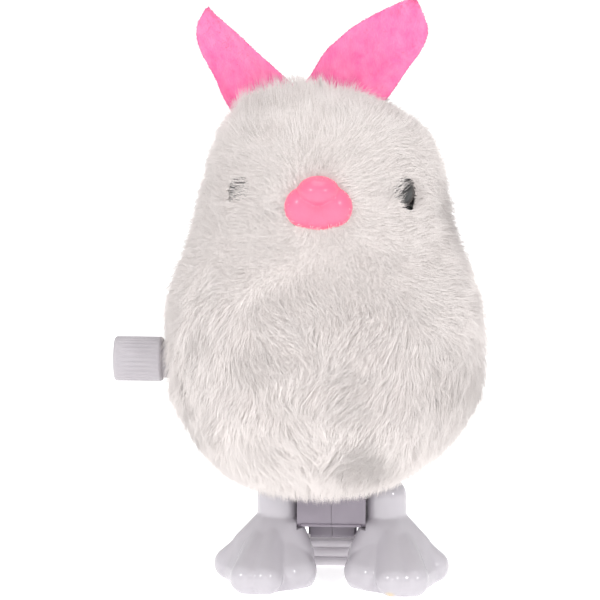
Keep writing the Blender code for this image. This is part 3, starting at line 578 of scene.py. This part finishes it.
def make_backing():
    """The cloth under the pile: open for the nose, eyes and knob, and double-walled."""
    rows, columns = BACKING_GRID
    shares = np.linspace(0, 1, rows)
    turns = np.linspace(0, 2 * math.pi, columns, endpoint=False)
    grid_share, grid_turn = np.meshgrid(shares[:-1], turns, indexing="ij")
    points, normals = surface.at(grid_share.ravel(), grid_turn.ravel())
    points = points - normals * BACKING_DEPTH
    crown = surface.at(np.array([1.0]), np.array([0.0]))[0] - [[0, 0, BACKING_DEPTH]]
    faces = ring_faces(rows - 1, columns)
    top = (rows - 2) * columns
    for k in range(columns):
        faces.append((top + k, top + (k + 1) % columns, len(points)))
    points = np.vstack([points, crown])
    middles = np.array([points[list(face)].mean(axis=0) for face in faces])
    keep = (nose_distance(middles) > -CLOTH_UNDER_NOSE) & (knob_distance(middles) > KNOB_OPENING)
    for name in eye_axes:
        keep &= ~in_eye_opening(middles, name, EYE_HOLE_MARGIN)
    faces = [face for face, kept in zip(faces, keep) if kept]
    cloth = mesh_piece("cover_backing", points, faces)
    bm = bmesh.new()
    bm.from_mesh(cloth.data)
    loose = [v for v in bm.verts if not v.link_faces]
    bmesh.ops.delete(bm, geom=loose, context="VERTS")
    round_eye_holes(bm, EYE_HOLE_MARGIN)
    bm.to_mesh(cloth.data)
    bm.free()
    wall = cloth.modifiers.new("wall", "SOLIDIFY")
    wall.thickness = BACKING_THICKNESS
    wall.offset = -1
    apply_modifiers(cloth)
    cloth.data.shade_smooth()
    dress(cloth, "body", backing)
    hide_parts("plush_cover")
    return cloth


# ------------ the pile

def comb(points, normals):
    """The way the pile lies: away from the nose on the face, back over the crown, down the body,
    and in towards a seam low on the belly."""
    nose = np.array([NOSE_MIDDLE.x, nose_low.y, NOSE_MIDDLE.z])
    away = points - nose
    apart = np.linalg.norm(away, axis=1, keepdims=True)
    face = np.exp(-(apart / (25 * MM)) ** 2)
    high = step(points[:, 2:3], 68 * MM, 82 * MM)
    low = step(points[:, 2:3], 52 * MM, 30 * MM)
    front = step(BODY_MIDDLE.y - points[:, 1:2], 2 * MM, 14 * MM)
    sideways = points[:, 0:1] - BODY_MIDDLE.x
    back = np.concatenate([sideways / (30 * MM), np.full_like(sideways, 0.55), 0 * sideways], axis=1)
    down = np.array([[0.0, 0.0, -1.0]])
    seam_height = np.exp(-((points[:, 2:3] - 34 * MM) / (13 * MM)) ** 2)
    towards = -np.tanh((sideways - 1.0 * MM) / (5 * MM))
    inward = np.concatenate([towards, 0 * sideways, 0 * sideways], axis=1)
    field = 1.6 * face * unit(away)
    hem = step(points[:, 2:3], 32 * MM, 20 * MM)
    field = field + (1 - face) * ((1 - high) * down * 0.9 + back * (0.5 * (1 - hem) + high))
    field = field + 0.75 * front * seam_height * low * inward
    return across_normal(field, normals)


def across_normal(field, normals):
    return unit(field - (field * normals).sum(axis=1, keepdims=True) * normals)


def turned_about(field, normals, angle):
    """The field turned round the normals by an angle each."""
    angle = angle[:, None]
    return field * np.cos(angle) + np.cross(normals, field) * np.sin(angle)


def spread_roots(count, depth):
    """Evenly scattered places on the cover: tip-surface point, normal and root at that depth."""
    index = np.arange(count)
    turn = index * math.pi * (3 - math.sqrt(5)) + rng.normal(0, 0.02, count)
    share = np.clip((index + rng.uniform(0, 1, count)) / count + rng.normal(0, 0.002, count), 0, 0.99995)
    point, normal = surface.at(share, turn)
    clear = (nose_distance(point) > -PILE_UNDER_NOSE) & (knob_distance(point) > KNOB_OPENING)
    for name in eye_axes:
        clear &= ~in_eye_opening(point, name)
    point, normal = point[clear], normal[clear]
    return point, normal, point - normal * depth


def near_eyes(points):
    """1 on an eye's bead, falling to 0 a few millimetres away."""
    apart = [eye_distance(points, name) for name in eye_axes]
    return 1 - step(np.minimum(*apart), 2.6 * MM, 4.6 * MM)


def clear_of_ears(roots, tips, ear_trees):
    """Which strands neither stand in an ear nor pass through one."""
    kept = np.ones(len(roots), bool)
    for k in np.flatnonzero(roots[:, 2] > cover_high.z - 12 * MM):
        root, run = Vector(roots[k]), Vector(tips[k] - roots[k])
        for tree in ear_trees:
            if tree.find_nearest(root, 0.3 * MM)[0] is not None:
                kept[k] = False
            elif tree.ray_cast(root, run, run.length)[0] is not None:
                kept[k] = False
    return kept


def crown_share(points):
    """1 in front of the ears on top of the head, where the hairs are long and stand up."""
    high = step(points[:, 2], cover_high.z - 11 * MM, cover_high.z - 5 * MM)
    ahead = step(BODY_MIDDLE.y + 1.5 * MM - points[:, 1], 0.0, 3 * MM)
    return high * ahead * step(points[:, 0], -19 * MM, -14 * MM) * step(-points[:, 0], -2.5 * MM, 4 * MM)


def guard_hairs(ear_trees):
    """The longer hairs that lie over the pile, gathered loosely into tufts."""
    point, normals, roots = spread_roots(GUARD_COUNT, GUARD_DEPTH)
    count = len(roots)
    belly = step(point[:, 2], 64 * MM, 46 * MM)
    lumps = 0.12 * soft_noise(point, 9 * MM, 3) + 0.08 * soft_noise(point, 3.5 * MM, 4)
    lumps = np.maximum(lumps, -HOLLOW_LIMIT)
    height = GUARD_DEPTH * (1.05 + lumps + 0.25 * near_eyes(point)) * rng.uniform(0.6, 1.25, count)
    height = np.where(rng.uniform(0, 1, count) < STRAY_SHARE, rng.uniform(1.2, 1.9, count) * height, height)
    lean = comb(point, normals)
    swirl = 0.5 * soft_noise(point, 10 * MM, 5) + 0.3 * soft_noise(point, 3.4 * MM, 6)
    lean = turned_about(lean, normals, swirl + rng.normal(0, 0.16, count))
    length = HEAD_GUARD_LENGTH + belly * (BELLY_GUARD_LENGTH - HEAD_GUARD_LENGTH)
    length = length * rng.uniform(0.65, 1.1, count)
    reach = np.sqrt(np.maximum(length ** 2 - height ** 2, (0.8 * MM) ** 2))
    lying = normals * height[:, None] + lean * reach[:, None]
    half_lying = normals * (0.7 * height)[:, None] + lean * (0.4 * reach)[:, None]
    hanging = step(point[:, 2], 28 * MM, 17 * MM)[:, None]
    drop = unit(0.5 * normals + [0.0, -0.15, -1.0] + rng.normal(0, 0.25, roots.shape))
    drop = drop * 0.6 * length[:, None]
    lying = (1 - hanging) * lying + hanging * drop
    half_lying = (1 - hanging) * half_lying + hanging * (0.4 * drop + 0.12 * length[:, None] * normals)
    crown = crown_share(point)[:, None]
    upright = unit(0.4 * normals + [0.0, -0.1, 1.0] + rng.normal(0, 0.2, roots.shape))
    tall = CROWN_GUARD_LENGTH * (1 + 0.2 * soft_noise(point, 3 * MM, 8)) * rng.uniform(0.45, 1.1, count)
    tips = roots + (1 - crown) * lying + crown * upright * tall[:, None]
    bowed = 0.8 * upright + 0.2 * normals
    middles = roots + (1 - crown) * half_lying + crown * bowed * 0.5 * tall[:, None]
    leaders = rng.choice(count, count // TUFT_STRANDS, replace=False)
    tree = KDTree(len(leaders))
    centres = (roots + tips) / 2
    for k, leader in enumerate(leaders):
        tree.insert(centres[leader], k)
    tree.balance()
    nearest = leaders[[tree.find(p)[1] for p in centres]]
    central = step(12 * MM - np.abs(point[:, 0] - BODY_MIDDLE.x), -8 * MM, 8 * MM)
    pull = (0.1 + 0.26 * belly * central) * rng.uniform(0.3, 1.2, count)
    tips = tips + (tips[nearest] - tips) * pull[:, None] + rng.normal(0, 0.16 * MM, tips.shape)
    middles = middles + (middles[nearest] - middles) * (0.4 * pull)[:, None]
    middles = middles + rng.normal(0, 0.05 * MM, middles.shape)
    kept = clear_of_ears(roots, tips, ear_trees)
    for name in eye_axes:
        crossing = np.zeros(count, bool)
        for share in (0.0, 0.33, 0.67, 1.0):
            crossing |= in_eye_opening(middles + (tips - middles) * share, name)
        kept &= ~crossing | (rng.uniform(0, 1, count) < EYE_CROSSING)
    return np.stack([roots, middles, tips], axis=1)[kept], normals[kept]


def underfur(ear_trees):
    """Short, nearly upright hairs that fill the pile between the longer ones."""
    point, normals, roots = spread_roots(UNDERFUR_COUNT, UNDERFUR_DEPTH)
    count = len(roots)
    lean = 0.8 * comb(point, normals) + rng.normal(0, 0.3, roots.shape)
    length = UNDERFUR_DEPTH * rng.uniform(0.75, 1.2, (count, 1))
    tips = roots + unit(normals + lean) * length
    kept = clear_of_ears(roots, tips, ear_trees)
    for name in eye_axes:
        kept &= ~in_eye_opening(tips, name)
    return np.stack([roots, tips], axis=1)[kept], normals[kept]


PILE_REGIONS = ("hem", "belly", "waist", "face", "crown")


def make_pile(ear_trees):
    """The pile as one mesh for each region and kind of hair, each from a share of the hairs by height."""
    made = []
    kinds = (("guard", guard_hairs, GUARD_RADII), ("under", underfur, UNDERFUR_RADII))
    for kind, grow, radii in kinds:
        hairs, normals = grow(ear_trees)
        rank = np.argsort(np.argsort(hairs[:, 0, 2])) * len(PILE_REGIONS) // len(hairs)
        at_front = hairs[:, 0, 1] < BODY_MIDDLE.y
        shade = rng.uniform(0, 1, len(hairs))
        for band, region in enumerate(PILE_REGIONS):
            for facing_front, side in ((True, "front"), (False, "back")):
                chosen = (rank == band) & (at_front == facing_front)
                patch = strands(f"pile_{kind}_{region}_{side}", hairs[chosen], radii, shade[chosen],
                                normals[chosen])
                made.append(dress(patch, "body", pile))
    return made


# ------------ ears

# Each ear: lean and twist in degrees, then (share of length, width to the left, width to the right) in mm
# as seen from the front, and the crease past which the felt folds forward: its two ends, each as (share of
# length, across in mm).
LEFT_EAR = {
    "node": "ear_left", "lean": -32.0, "twist": -30.0,
    "edges": ((0.0, 6.2, 6.3), (0.25, 6.1, 4.9), (0.45, 5.5, 3.6), (0.70, 5.1, 2.1), (0.83, 4.4, 1.2),
              (0.93, 2.9, 0.55), (1.0, 0.3, 0.3)),
    "fold_side": -1, "crease": ((0.0, 4.6), (0.95, 3.4)), "fold_slope": 0.9,
}
RIGHT_EAR = {
    "node": "ear_right", "lean": 36.5, "twist": 8.0,
    "edges": ((0.0, 6.5, 6.0), (0.2, 6.8, 6.2), (0.35, 6.3, 6.15), (0.5, 5.6, 6.05), (0.7, 3.9, 6.0),
              (0.85, 2.3, 5.0), (0.94, 1.2, 2.6), (1.0, 0.25, 0.4)),
    "fold_side": 1, "crease": ((0.09, 0.6), (0.755, 5.8)), "fold_slope": 0.75,
}
EAR_LENGTH = 20 * MM
EAR_THICKNESS = 1.25 * MM
EAR_BURIED = 0.12
EAR_RINGS = 44
EAR_COLUMNS = 34
EAR_FIBRES = 5000
EAR_FIBRE_RADII = (0.022 * MM, 0.018 * MM)


def ear_point(ear, tip, share, across, side=0.0):
    """Places on an ear. across runs -1 to 1 between its edges; side is 1 on the front face, -1 behind."""
    edges = smooth_line(ear["edges"], 200)
    left = np.interp(share, edges[:, 0], edges[:, 1]) * MM
    right = np.interp(share, edges[:, 0], edges[:, 2]) * MM
    wide = np.where(across < 0, across * left, across * right)
    (s0, a0), (s1, a1) = ear["crease"]
    crease = (a0 + (a1 - a0) * (share - s0) / (s1 - s0)) * MM
    beyond = np.maximum(ear["fold_side"] * wide - crease, 0)
    softened = np.sqrt(beyond ** 2 + (0.5 * MM) ** 2) - 0.5 * MM
    cup = 0.9 * MM * np.sin(np.pi * np.clip(share, 0, 1)) * (across ** 2 - 0.5)
    rim = np.sqrt(np.maximum(1 - np.abs(across) ** 5, 0))
    rim = rim * np.sqrt(np.maximum(1 - np.clip(share, 0, 1) ** 24, 0))
    depth = wide * math.tan(math.radians(ear["twist"])) - cup - ear["fold_slope"] * softened
    depth = depth - side * rim * EAR_THICKNESS / 2
    lean = math.radians(ear["lean"])
    up = share * EAR_LENGTH
    x = wide * math.cos(lean) + up * math.sin(lean)
    z = -wide * math.sin(lean) + up * math.cos(lean)
    root = np.array(tip) - EAR_LENGTH * np.array([math.sin(lean), 0, math.cos(lean)])
    points = np.stack([root[0] + x, root[1] + depth, root[2] + z], axis=-1)
    ripple = 0.13 * soft_noise(points, 1.6 * MM, 31) + 0.2 * soft_noise(points, 5 * MM, 32)
    points[..., 1] += ripple * 0.6 * MM
    return points


def make_ear(ear):
    """A felt ear: one cut with round edges and a folded flap, and short loose fibres all over it."""
    low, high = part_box(ear["node"])
    corners = [v.co for v in nodes[ear["node"]].data.vertices]
    highest = max(corners, key=lambda corner: corner.z)
    tip = (highest.x, (low.y + high.y) / 2, highest.z)
    rings = []
    across = np.sin(np.linspace(-math.pi / 2, math.pi / 2, EAR_COLUMNS))
    for share in np.linspace(-EAR_BURIED, 1, EAR_RINGS):
        place = np.full(len(across), share)
        front = ear_point(ear, tip, place, across, 1.0)
        rear = ear_point(ear, tip, place[1:-1], across[::-1][1:-1], -1.0)
        rings.append(np.vstack([front, rear]))
    points, faces = skin_of_rings(rings)
    made = mesh_piece(ear["node"] + "_felt", points, faces)
    dress(made, "body", felt)
    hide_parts(ear["node"])

    count = EAR_FIBRES
    share = rng.uniform(0, 1, count)
    across = np.clip(rng.uniform(-1.35, 1.35, count), -1, 1)
    side = rng.choice([-1.0, 1.0], count)
    roots = ear_point(ear, tip, share, across * 0.985, side * 0.9)
    ahead = ear_point(ear, tip, np.minimum(share + 0.02, 1.0), across, side)
    outer = ear_point(ear, tip, share, across * 1.02 + 0.02 * np.sign(across), side)
    edge = (np.abs(across) > 0.99)[:, None]
    lie = unit(ahead - roots) * rng.normal(0.4, 0.8, (count, 1))
    lie = lie + unit(outer - roots) * np.where(edge, 1.2, 0.5)
    lie = lie + rng.normal(0, 0.55, (count, 3))
    lie[:, 1] -= side * 0.35
    length = rng.uniform(0.2, 0.5, (count, 1)) * MM
    tips = roots + unit(lie) * length
    middles = (roots + tips) / 2 + rng.normal(0, 0.06 * MM, (count, 3))
    fuzz = strands(ear["node"] + "_fibres", np.stack([roots, middles, tips], axis=1),
                   EAR_FIBRE_RADII, rng.uniform(0, 1, count))
    dress(fuzz, "body", felt)
    return made


# ------------ nose and eyes

# Each lobe: across, up and forward from the nose's middle, then half width, half height and half depth,
# all as shares of the nose's half width, half height and depth.
NOSE_LOBES = (
    (-0.42, -0.15, 0.0, 0.555, 0.725, 0.60), (0.42, -0.15, 0.0, 0.555, 0.725, 0.60),
    (0.0, -0.36, -0.04, 0.80, 0.64, 0.54), (0.0, 0.46, 0.12, 0.60, 0.53, 0.70),
    (0.0, -0.02, 0.0, 0.83, 0.86, 0.42),
)
NOSE_DEPTH = 4.3 * MM
NOSE_VOXEL = 0.13 * MM
NOSE_SMOOTHING = 8


def ellipsoids(name, lobes, voxel, smoothing):
    """Overlapping ellipsoids, each (centre, half sizes), run into one skin."""
    bm = bmesh.new()
    for centre, sizes in lobes:
        place = Matrix.Translation(centre) @ Matrix.Diagonal((*sizes, 1.0))
        bmesh.ops.create_icosphere(bm, subdivisions=4, radius=1.0, matrix=place)
    made = bmesh_piece(name, bm)
    blend_skin(made, voxel, smoothing)
    made.data.shade_smooth()
    return made


def make_nose():
    half_wide = (nose_high.x - nose_low.x) / 2
    half_tall = (nose_high.z - nose_low.z) / 2
    depth = NOSE_DEPTH
    base = Vector((NOSE_MIDDLE.x, nose_low.y + depth, NOSE_MIDDLE.z))
    lobes = []
    for across, up, forward, wide, tall, thick in NOSE_LOBES:
        centre = base + Vector((across * half_wide, -forward * depth - 0.35 * depth, up * half_tall))
        lobes.append((centre, (wide * half_wide, thick * depth, tall * half_tall)))
    lobes.append((base + Vector((0, 2.6 * MM, 0)), (1.5 * MM, 3.4 * MM, 1.5 * MM)))
    made = ellipsoids("nose_button", lobes, NOSE_VOXEL, NOSE_SMOOTHING)
    dress(made, "body", nose_gloss)
    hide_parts("nose")


def turned_piece(name, profile, transform, segments):
    """A closed turned piece: the profile is (along, radius), turned about +X, then placed."""
    rings = []
    for along, radius in profile:
        rings.append([transform @ Vector((along, radius * math.cos(a), radius * math.sin(a)))
                      for a in (2 * math.pi * k / segments for k in range(segments))])
    points, faces = skin_of_rings(rings)
    made = mesh_piece(name, points, faces)
    made.data.set_sharp_from_angle(angle=math.radians(50))
    return made


def facing(position, outward):
    """A transform whose +X points outward from the position."""
    outward = Vector(outward).normalized()
    side = Vector((0, 0, 1)).cross(outward).normalized()
    up = outward.cross(side)
    return Matrix.Translation(position) @ Matrix((outward, side, up)).transposed().to_4x4()


EYE_SUNK = 0.6 * MM
EYE_DOME = 1.9 * MM
EYE_RIM = 0.2 * MM


def make_eye(name):
    """A domed bead with a fine rim, on its shank."""
    corners = packed_corners(name)
    middle, out = eye_axes[name]
    along = (corners - middle) @ out
    radius = np.linalg.norm(corners - middle - along[:, None] * out, axis=1).max()
    front, rear = along.max() - EYE_SUNK, along.min()
    dome = EYE_DOME
    profile = [(rear, 0.02 * MM), (rear, 0.9 * MM), (front - dome, 1.0 * MM), (front - dome, radius * 0.95)]
    profile.append((front - dome + 0.12 * MM, radius))
    steps = 16
    for k in range(1, steps):
        angle = math.pi / 2 * k / steps
        rise = front - dome + EYE_RIM + (dome - EYE_RIM) * math.sin(angle)
        profile.append((rise, radius * math.cos(angle)))
    profile.append((front, 0.02 * MM))
    made = turned_piece(name + "_bead", profile, facing(middle, out), 64)
    dress(made, "body", eye_gloss)
    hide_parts(name)


# ------------ knob

KNOB_RIBS = 28
RIB_DEPTH = 0.17 * MM
KNOB_SHOULDER = 8.4 * MM
SLEEVE_RADIUS = 3.25 * MM
KNOB_DISH = 0.35 * MM
KNOB_CORNER = 0.5 * MM


def make_knob():
    """The ribbed knob and its sleeve: a plain rim at each end, round ribs between them."""
    radius = (knob_high.z - knob_low.z) / 2
    length = knob_high.x - knob_low.x
    corner = KNOB_CORNER
    stations = [(KNOB_DISH, 0.02 * MM, 0.0), (KNOB_DISH, radius * 0.55, 0.0),
                (0.12 * MM, radius * 0.62, 0.0), (0.0, radius * 0.70, 0.0)]
    for k in range(7):
        angle = math.pi / 2 * k / 6
        stations.append((corner * (1 - math.cos(angle)), radius - corner * (1 - math.sin(angle)), 0.0))
    rib_start, rib_end = corner + 0.25 * MM, KNOB_SHOULDER - 0.8 * MM
    stations.append((rib_start, radius, 0.0))
    for k in range(9):
        share = k / 8
        bite = min(1.0, 3.2 * min(share, 1 - share) + 0.15)
        stations.append((rib_start + (rib_end - rib_start) * share, radius, bite))
    stations += [
        (rib_end + 0.12 * MM, radius, 0.0), (KNOB_SHOULDER - 0.45 * MM, radius, 0.0),
        (KNOB_SHOULDER - 0.1 * MM, radius - 0.3 * MM, 0.0), (KNOB_SHOULDER, SLEEVE_RADIUS + 0.12 * MM, 0.0),
        (KNOB_SHOULDER + 0.1 * MM, SLEEVE_RADIUS, 0.0), (length - 0.2 * MM, SLEEVE_RADIUS, 0.0),
        (length, SLEEVE_RADIUS - 0.2 * MM, 0.0), (length, 0.02 * MM, 0.0),
    ]
    segments = KNOB_RIBS * 8
    rings = []
    for along, ring_radius, bite in stations:
        ring = []
        for k in range(segments):
            angle = 2 * math.pi * k / segments
            groove = (0.5 - 0.5 * math.cos(KNOB_RIBS * angle)) ** 2
            out = ring_radius - bite * RIB_DEPTH * groove
            ring.append((knob_low.x + along, KNOB_AXIS.y + out * math.cos(angle),
                         KNOB_AXIS.z + out * math.sin(angle)))
        rings.append(ring)
    points, faces = skin_of_rings(rings)
    made = mesh_piece("winding_knob_ribbed", points, faces)
    made.data.set_sharp_from_angle(angle=math.radians(60))
    dress(made, "winder", knob_plastic)
    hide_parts("winding_knob")


# ------------ feet

# Each ball is x, y, z and radius in mm, for the right foot; a form is the skin stretched over its balls.
LEG_FORM = ((9.2, -6.6, 14.5, 3.3), (9.65, -6.6, 14.5, 3.3), (9.2, -6.7, 9.4, 3.3), (9.7, -6.7, 9.4, 3.3))
INSTEP_FORM = (
    (9.9, -7.0, 8.8, 3.9), (8.0, -8.3, 7.6, 3.7), (6.2, -10.3, 5.0, 3.3), (5.6, -11.8, 1.9, 3.1),
    (12.7, -15.4, 1.6, 3.2), (14.0, -8.0, 5.2, 3.5), (15.0, -11.0, 2.0, 2.8), (16.9, -7.8, 2.1, 2.8),
    (9.0, -1.6, 3.0, 3.5),
)
HEEL_FORM = ((8.7, 0.4, 3.0, 3.3), (9.4, -5.8, 8.0, 3.5))
TOE_FORMS = (
    ((8.6, -9.0, 7.0, 3.3), (5.3, -13.0, 2.8, 3.0), (7.0, -14.0, 2.6, 3.0)),
    ((10.0, -9.6, 7.4, 3.1), (10.8, -17.3, 2.7, 2.9)),
    ((11.2, -9.2, 7.2, 3.1), (14.2, -17.0, 2.7, 2.9)),
    ((11.6, -7.8, 7.4, 3.0), (17.6, -8.6, 2.6, 2.8)),
)
FOOT_VOXEL = 0.2 * MM
FOOT_SMOOTHING = 20
CHEEK_X = 5.95 * MM

# The two boxes cut from between the feet, front, back, bottom above the case's lower end, and top. The first
# makes the legs' flat cheeks. The second gives the heels room to swing up past the case.
CHEEK_CUT = (-14 * MM, 2 * MM, 3.0 * MM, 20 * MM)
SWING_CUT = (-8 * MM, 2.1 * MM, 2.0 * MM, 19 * MM)
BAR_GAP = Vector((0.15, 0.15, 0.15)) * MM


def hull_of_balls(bm, balls, side):
    """Add the convex skin over balls to bm."""
    hull = bmesh.new()
    for x, y, z, radius in balls:
        place = Matrix.Translation((side * x * MM, y * MM, z * MM))
        bmesh.ops.create_icosphere(hull, subdivisions=4, radius=radius * MM, matrix=place)
    wrapped = bmesh.ops.convex_hull(hull, input=hull.verts)
    inside = [item for item in wrapped["geom_interior"] if isinstance(item, bmesh.types.BMVert)]
    bmesh.ops.delete(hull, geom=inside, context="VERTS")
    outer = set(item for item in wrapped["geom"] if isinstance(item, bmesh.types.BMFace))
    stray = [face for face in hull.faces if face not in outer]
    bmesh.ops.delete(hull, geom=stray, context="FACES_ONLY")
    bmesh.ops.recalc_face_normals(hull, faces=hull.faces)
    mesh = bpy.data.meshes.new("hull")
    hull.to_mesh(mesh)
    hull.free()
    bm.from_mesh(mesh)
    bpy.data.meshes.remove(mesh)


def add_box(bm, low, high):
    middle = (Vector(low) + Vector(high)) / 2
    size = Vector(high) - Vector(low)
    bmesh.ops.create_cube(bm, size=1.0, matrix=Matrix.Translation(middle) @ Matrix.Diagonal((*size, 1.0)))


def box_piece(name, low, high):
    bm = bmesh.new()
    add_box(bm, low, high)
    return bmesh_piece(name, bm)


def cut(made, tools):
    for tool in tools:
        difference = made.modifiers.new("cut", "BOOLEAN")
        difference.operation = "DIFFERENCE"
        difference.solver = "EXACT"
        difference.object = tool
    apply_modifiers(made)
    for tool in tools:
        bpy.data.objects.remove(tool, do_unlink=True)


def make_foot(name, side):
    bm = bmesh.new()
    for balls in (LEG_FORM, INSTEP_FORM, HEEL_FORM, *TOE_FORMS):
        hull_of_balls(bm, balls, side)
    made = bmesh_piece(name + "_moulding", bm)
    blend_skin(made, FOOT_VOXEL, FOOT_SMOOTHING)
    bar_low, bar_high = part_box("foot_bridge")
    case_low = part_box("gearbox_left")[0]
    tools = [box_piece("floor_cut", (-0.05, -0.05, -0.02), (0.05, 0.05, 0.0)),
             box_piece("socket_cut", bar_low - BAR_GAP - Vector((0, 0, 0.002)), bar_high + BAR_GAP)]
    for front, back, bottom, top in (CHEEK_CUT, SWING_CUT):
        tools.append(box_piece("leg_cut", (-CHEEK_X, front, case_low.z + bottom), (CHEEK_X, back, top)))
    cut(made, tools)
    made.data.shade_smooth()
    made.data.set_sharp_from_angle(angle=math.radians(42))
    dress(made, "feet", foot_plastic)
    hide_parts(name)


# ------------ gearbox case

CASE_SIDE = 5.55 * MM
NECK_GAP = 0.05 * MM
BLOCK_SIDE = 3.5 * MM
BLOCK_GROWTH = 0.3 * MM
SIDE_MATCH = 0.06 * MM
WEB_LOW = Vector((3.4, -3.5, 6.5)) * MM
WEB_HIGH = Vector((4.2, -2.3, 9.8)) * MM


def make_case_half(name, side):
    """One half of the case: its seam closed up, its neck close to the legs, its block a little wider and a
    web behind the block."""
    bm = bmesh.new()
    bm.from_mesh(nodes[name].data)
    for corner in bm.verts:
        reach = side * corner.co.x
        low = corner.co.z < cover_low.z + 2 * MM
        if reach < 0.2 * MM:
            corner.co.x = side * 0.03 * MM
        elif low and abs(reach - CASE_SIDE) < SIDE_MATCH:
            corner.co.x = side * (CHEEK_X - NECK_GAP)
        elif low and abs(reach - BLOCK_SIDE) < SIDE_MATCH:
            corner.co.x = side * (BLOCK_SIDE + BLOCK_GROWTH)
    left, right = sorted((side * WEB_LOW.x, side * WEB_HIGH.x))
    add_box(bm, (left, WEB_LOW.y, WEB_LOW.z), (right, WEB_HIGH.y, WEB_HIGH.z))
    made = bmesh_piece(name + "_case", bm)
    dress(made, "body", case_plastic)
    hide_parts(name)


# ------------ studio

CAMERA_TURN = math.radians(3.0)
CAMERA_RISE = math.radians(12.0)
CAMERA_DISTANCE = 0.5
CAMERA_LENS = 176.4
CAMERA_ASIDE = 4.15 * MM
CAMERA_AIM_SHARE = 0.4925
WORLD_STRENGTH = 0.78
LIGHT_AIM_HEIGHT = 0.045
FLOOR_SIZE = 20.0
FLOOR_GLOW = 0.6

# Each soft light: name, place, size in metres and power in watts.
SOFT_LIGHTS = (
    ("key", (-0.55, -0.70, 0.45), 0.13, 2.0), ("fill", (0.55, -0.70, 0.42), 0.13, 1.6),
    ("front", (0.0, -0.95, 0.30), 0.5, 0.8), ("top", (0.0, -0.1, 0.9), 0.6, 3.0),
)


def make_camera():
    """Nearly face on, a little above, framed on the whole toy."""
    aim = Vector((BODY_MIDDLE.x - CAMERA_ASIDE, BODY_MIDDLE.y, cad_high.z * CAMERA_AIM_SHARE))
    back = Vector((math.sin(CAMERA_TURN) * math.cos(CAMERA_RISE),
                   -math.cos(CAMERA_TURN) * math.cos(CAMERA_RISE), math.sin(CAMERA_RISE)))
    camera = linked("camera", bpy.data.cameras.new("camera"))
    camera.data.sensor_width = 36.0
    camera.data.lens = CAMERA_LENS
    camera.data.clip_start = 0.01
    camera.data.clip_end = 100.0
    camera.location = aim + back * CAMERA_DISTANCE
    camera.rotation_mode = "QUATERNION"
    camera.rotation_quaternion = (-back).to_track_quat("-Z", "Y")
    bpy.context.scene.camera = camera


def soft_box(name, place, size, power):
    """A square soft light that looks at the toy."""
    light = bpy.data.lights.new(name, "AREA")
    light.size = size
    light.energy = power
    lamp = linked(name, light)
    lamp.location = place
    toward = Vector((0, 0, LIGHT_AIM_HEIGHT)) - Vector(place)
    lamp.rotation_mode = "QUATERNION"
    lamp.rotation_quaternion = toward.to_track_quat("-Z", "Y")


def make_studio():
    scene = bpy.context.scene
    scene.view_settings.view_transform = "Standard"
    world = bpy.data.worlds.new("studio")
    world.use_nodes = True
    world.node_tree.nodes["Background"].inputs["Color"].default_value = (1.0, 1.0, 1.0, 1.0)
    world.node_tree.nodes["Background"].inputs["Strength"].default_value = WORLD_STRENGTH
    scene.world = world
    for name, place, size, power in SOFT_LIGHTS:
        soft_box(name, place, size, power)
    bm = bmesh.new()
    bmesh.ops.create_grid(bm, x_segments=1, y_segments=1, size=FLOOR_SIZE)
    floor = bmesh_piece("floor", bm)
    paper = Finish("paper", 0.9)
    tone = paper.mix(paper.noise(0.02, 2.0), (0.93, 0.93, 0.93), (0.96, 0.96, 0.96))
    paper.colour(tone)
    paper.shader.inputs["Emission Color"].default_value = (1.0, 1.0, 1.0, 1.0)
    paper.shader.inputs["Emission Strength"].default_value = FLOOR_GLOW
    floor.data.materials.append(paper.mat)


# ------------ the toy

make_camera()
make_studio()
dress_frame()
cloth = make_backing()
ears = [make_ear(ear) for ear in (LEFT_EAR, RIGHT_EAR)]
graph = bpy.context.evaluated_depsgraph_get()
pile_patches = make_pile([BVHTree.FromObject(ear, graph) for ear in ears])
make_nose()
for eye in eye_axes:
    make_eye(eye)
make_knob()
make_foot("foot_left", -1)
make_foot("foot_right", 1)
make_case_half("gearbox_left", -1)
make_case_half("gearbox_right", 1)
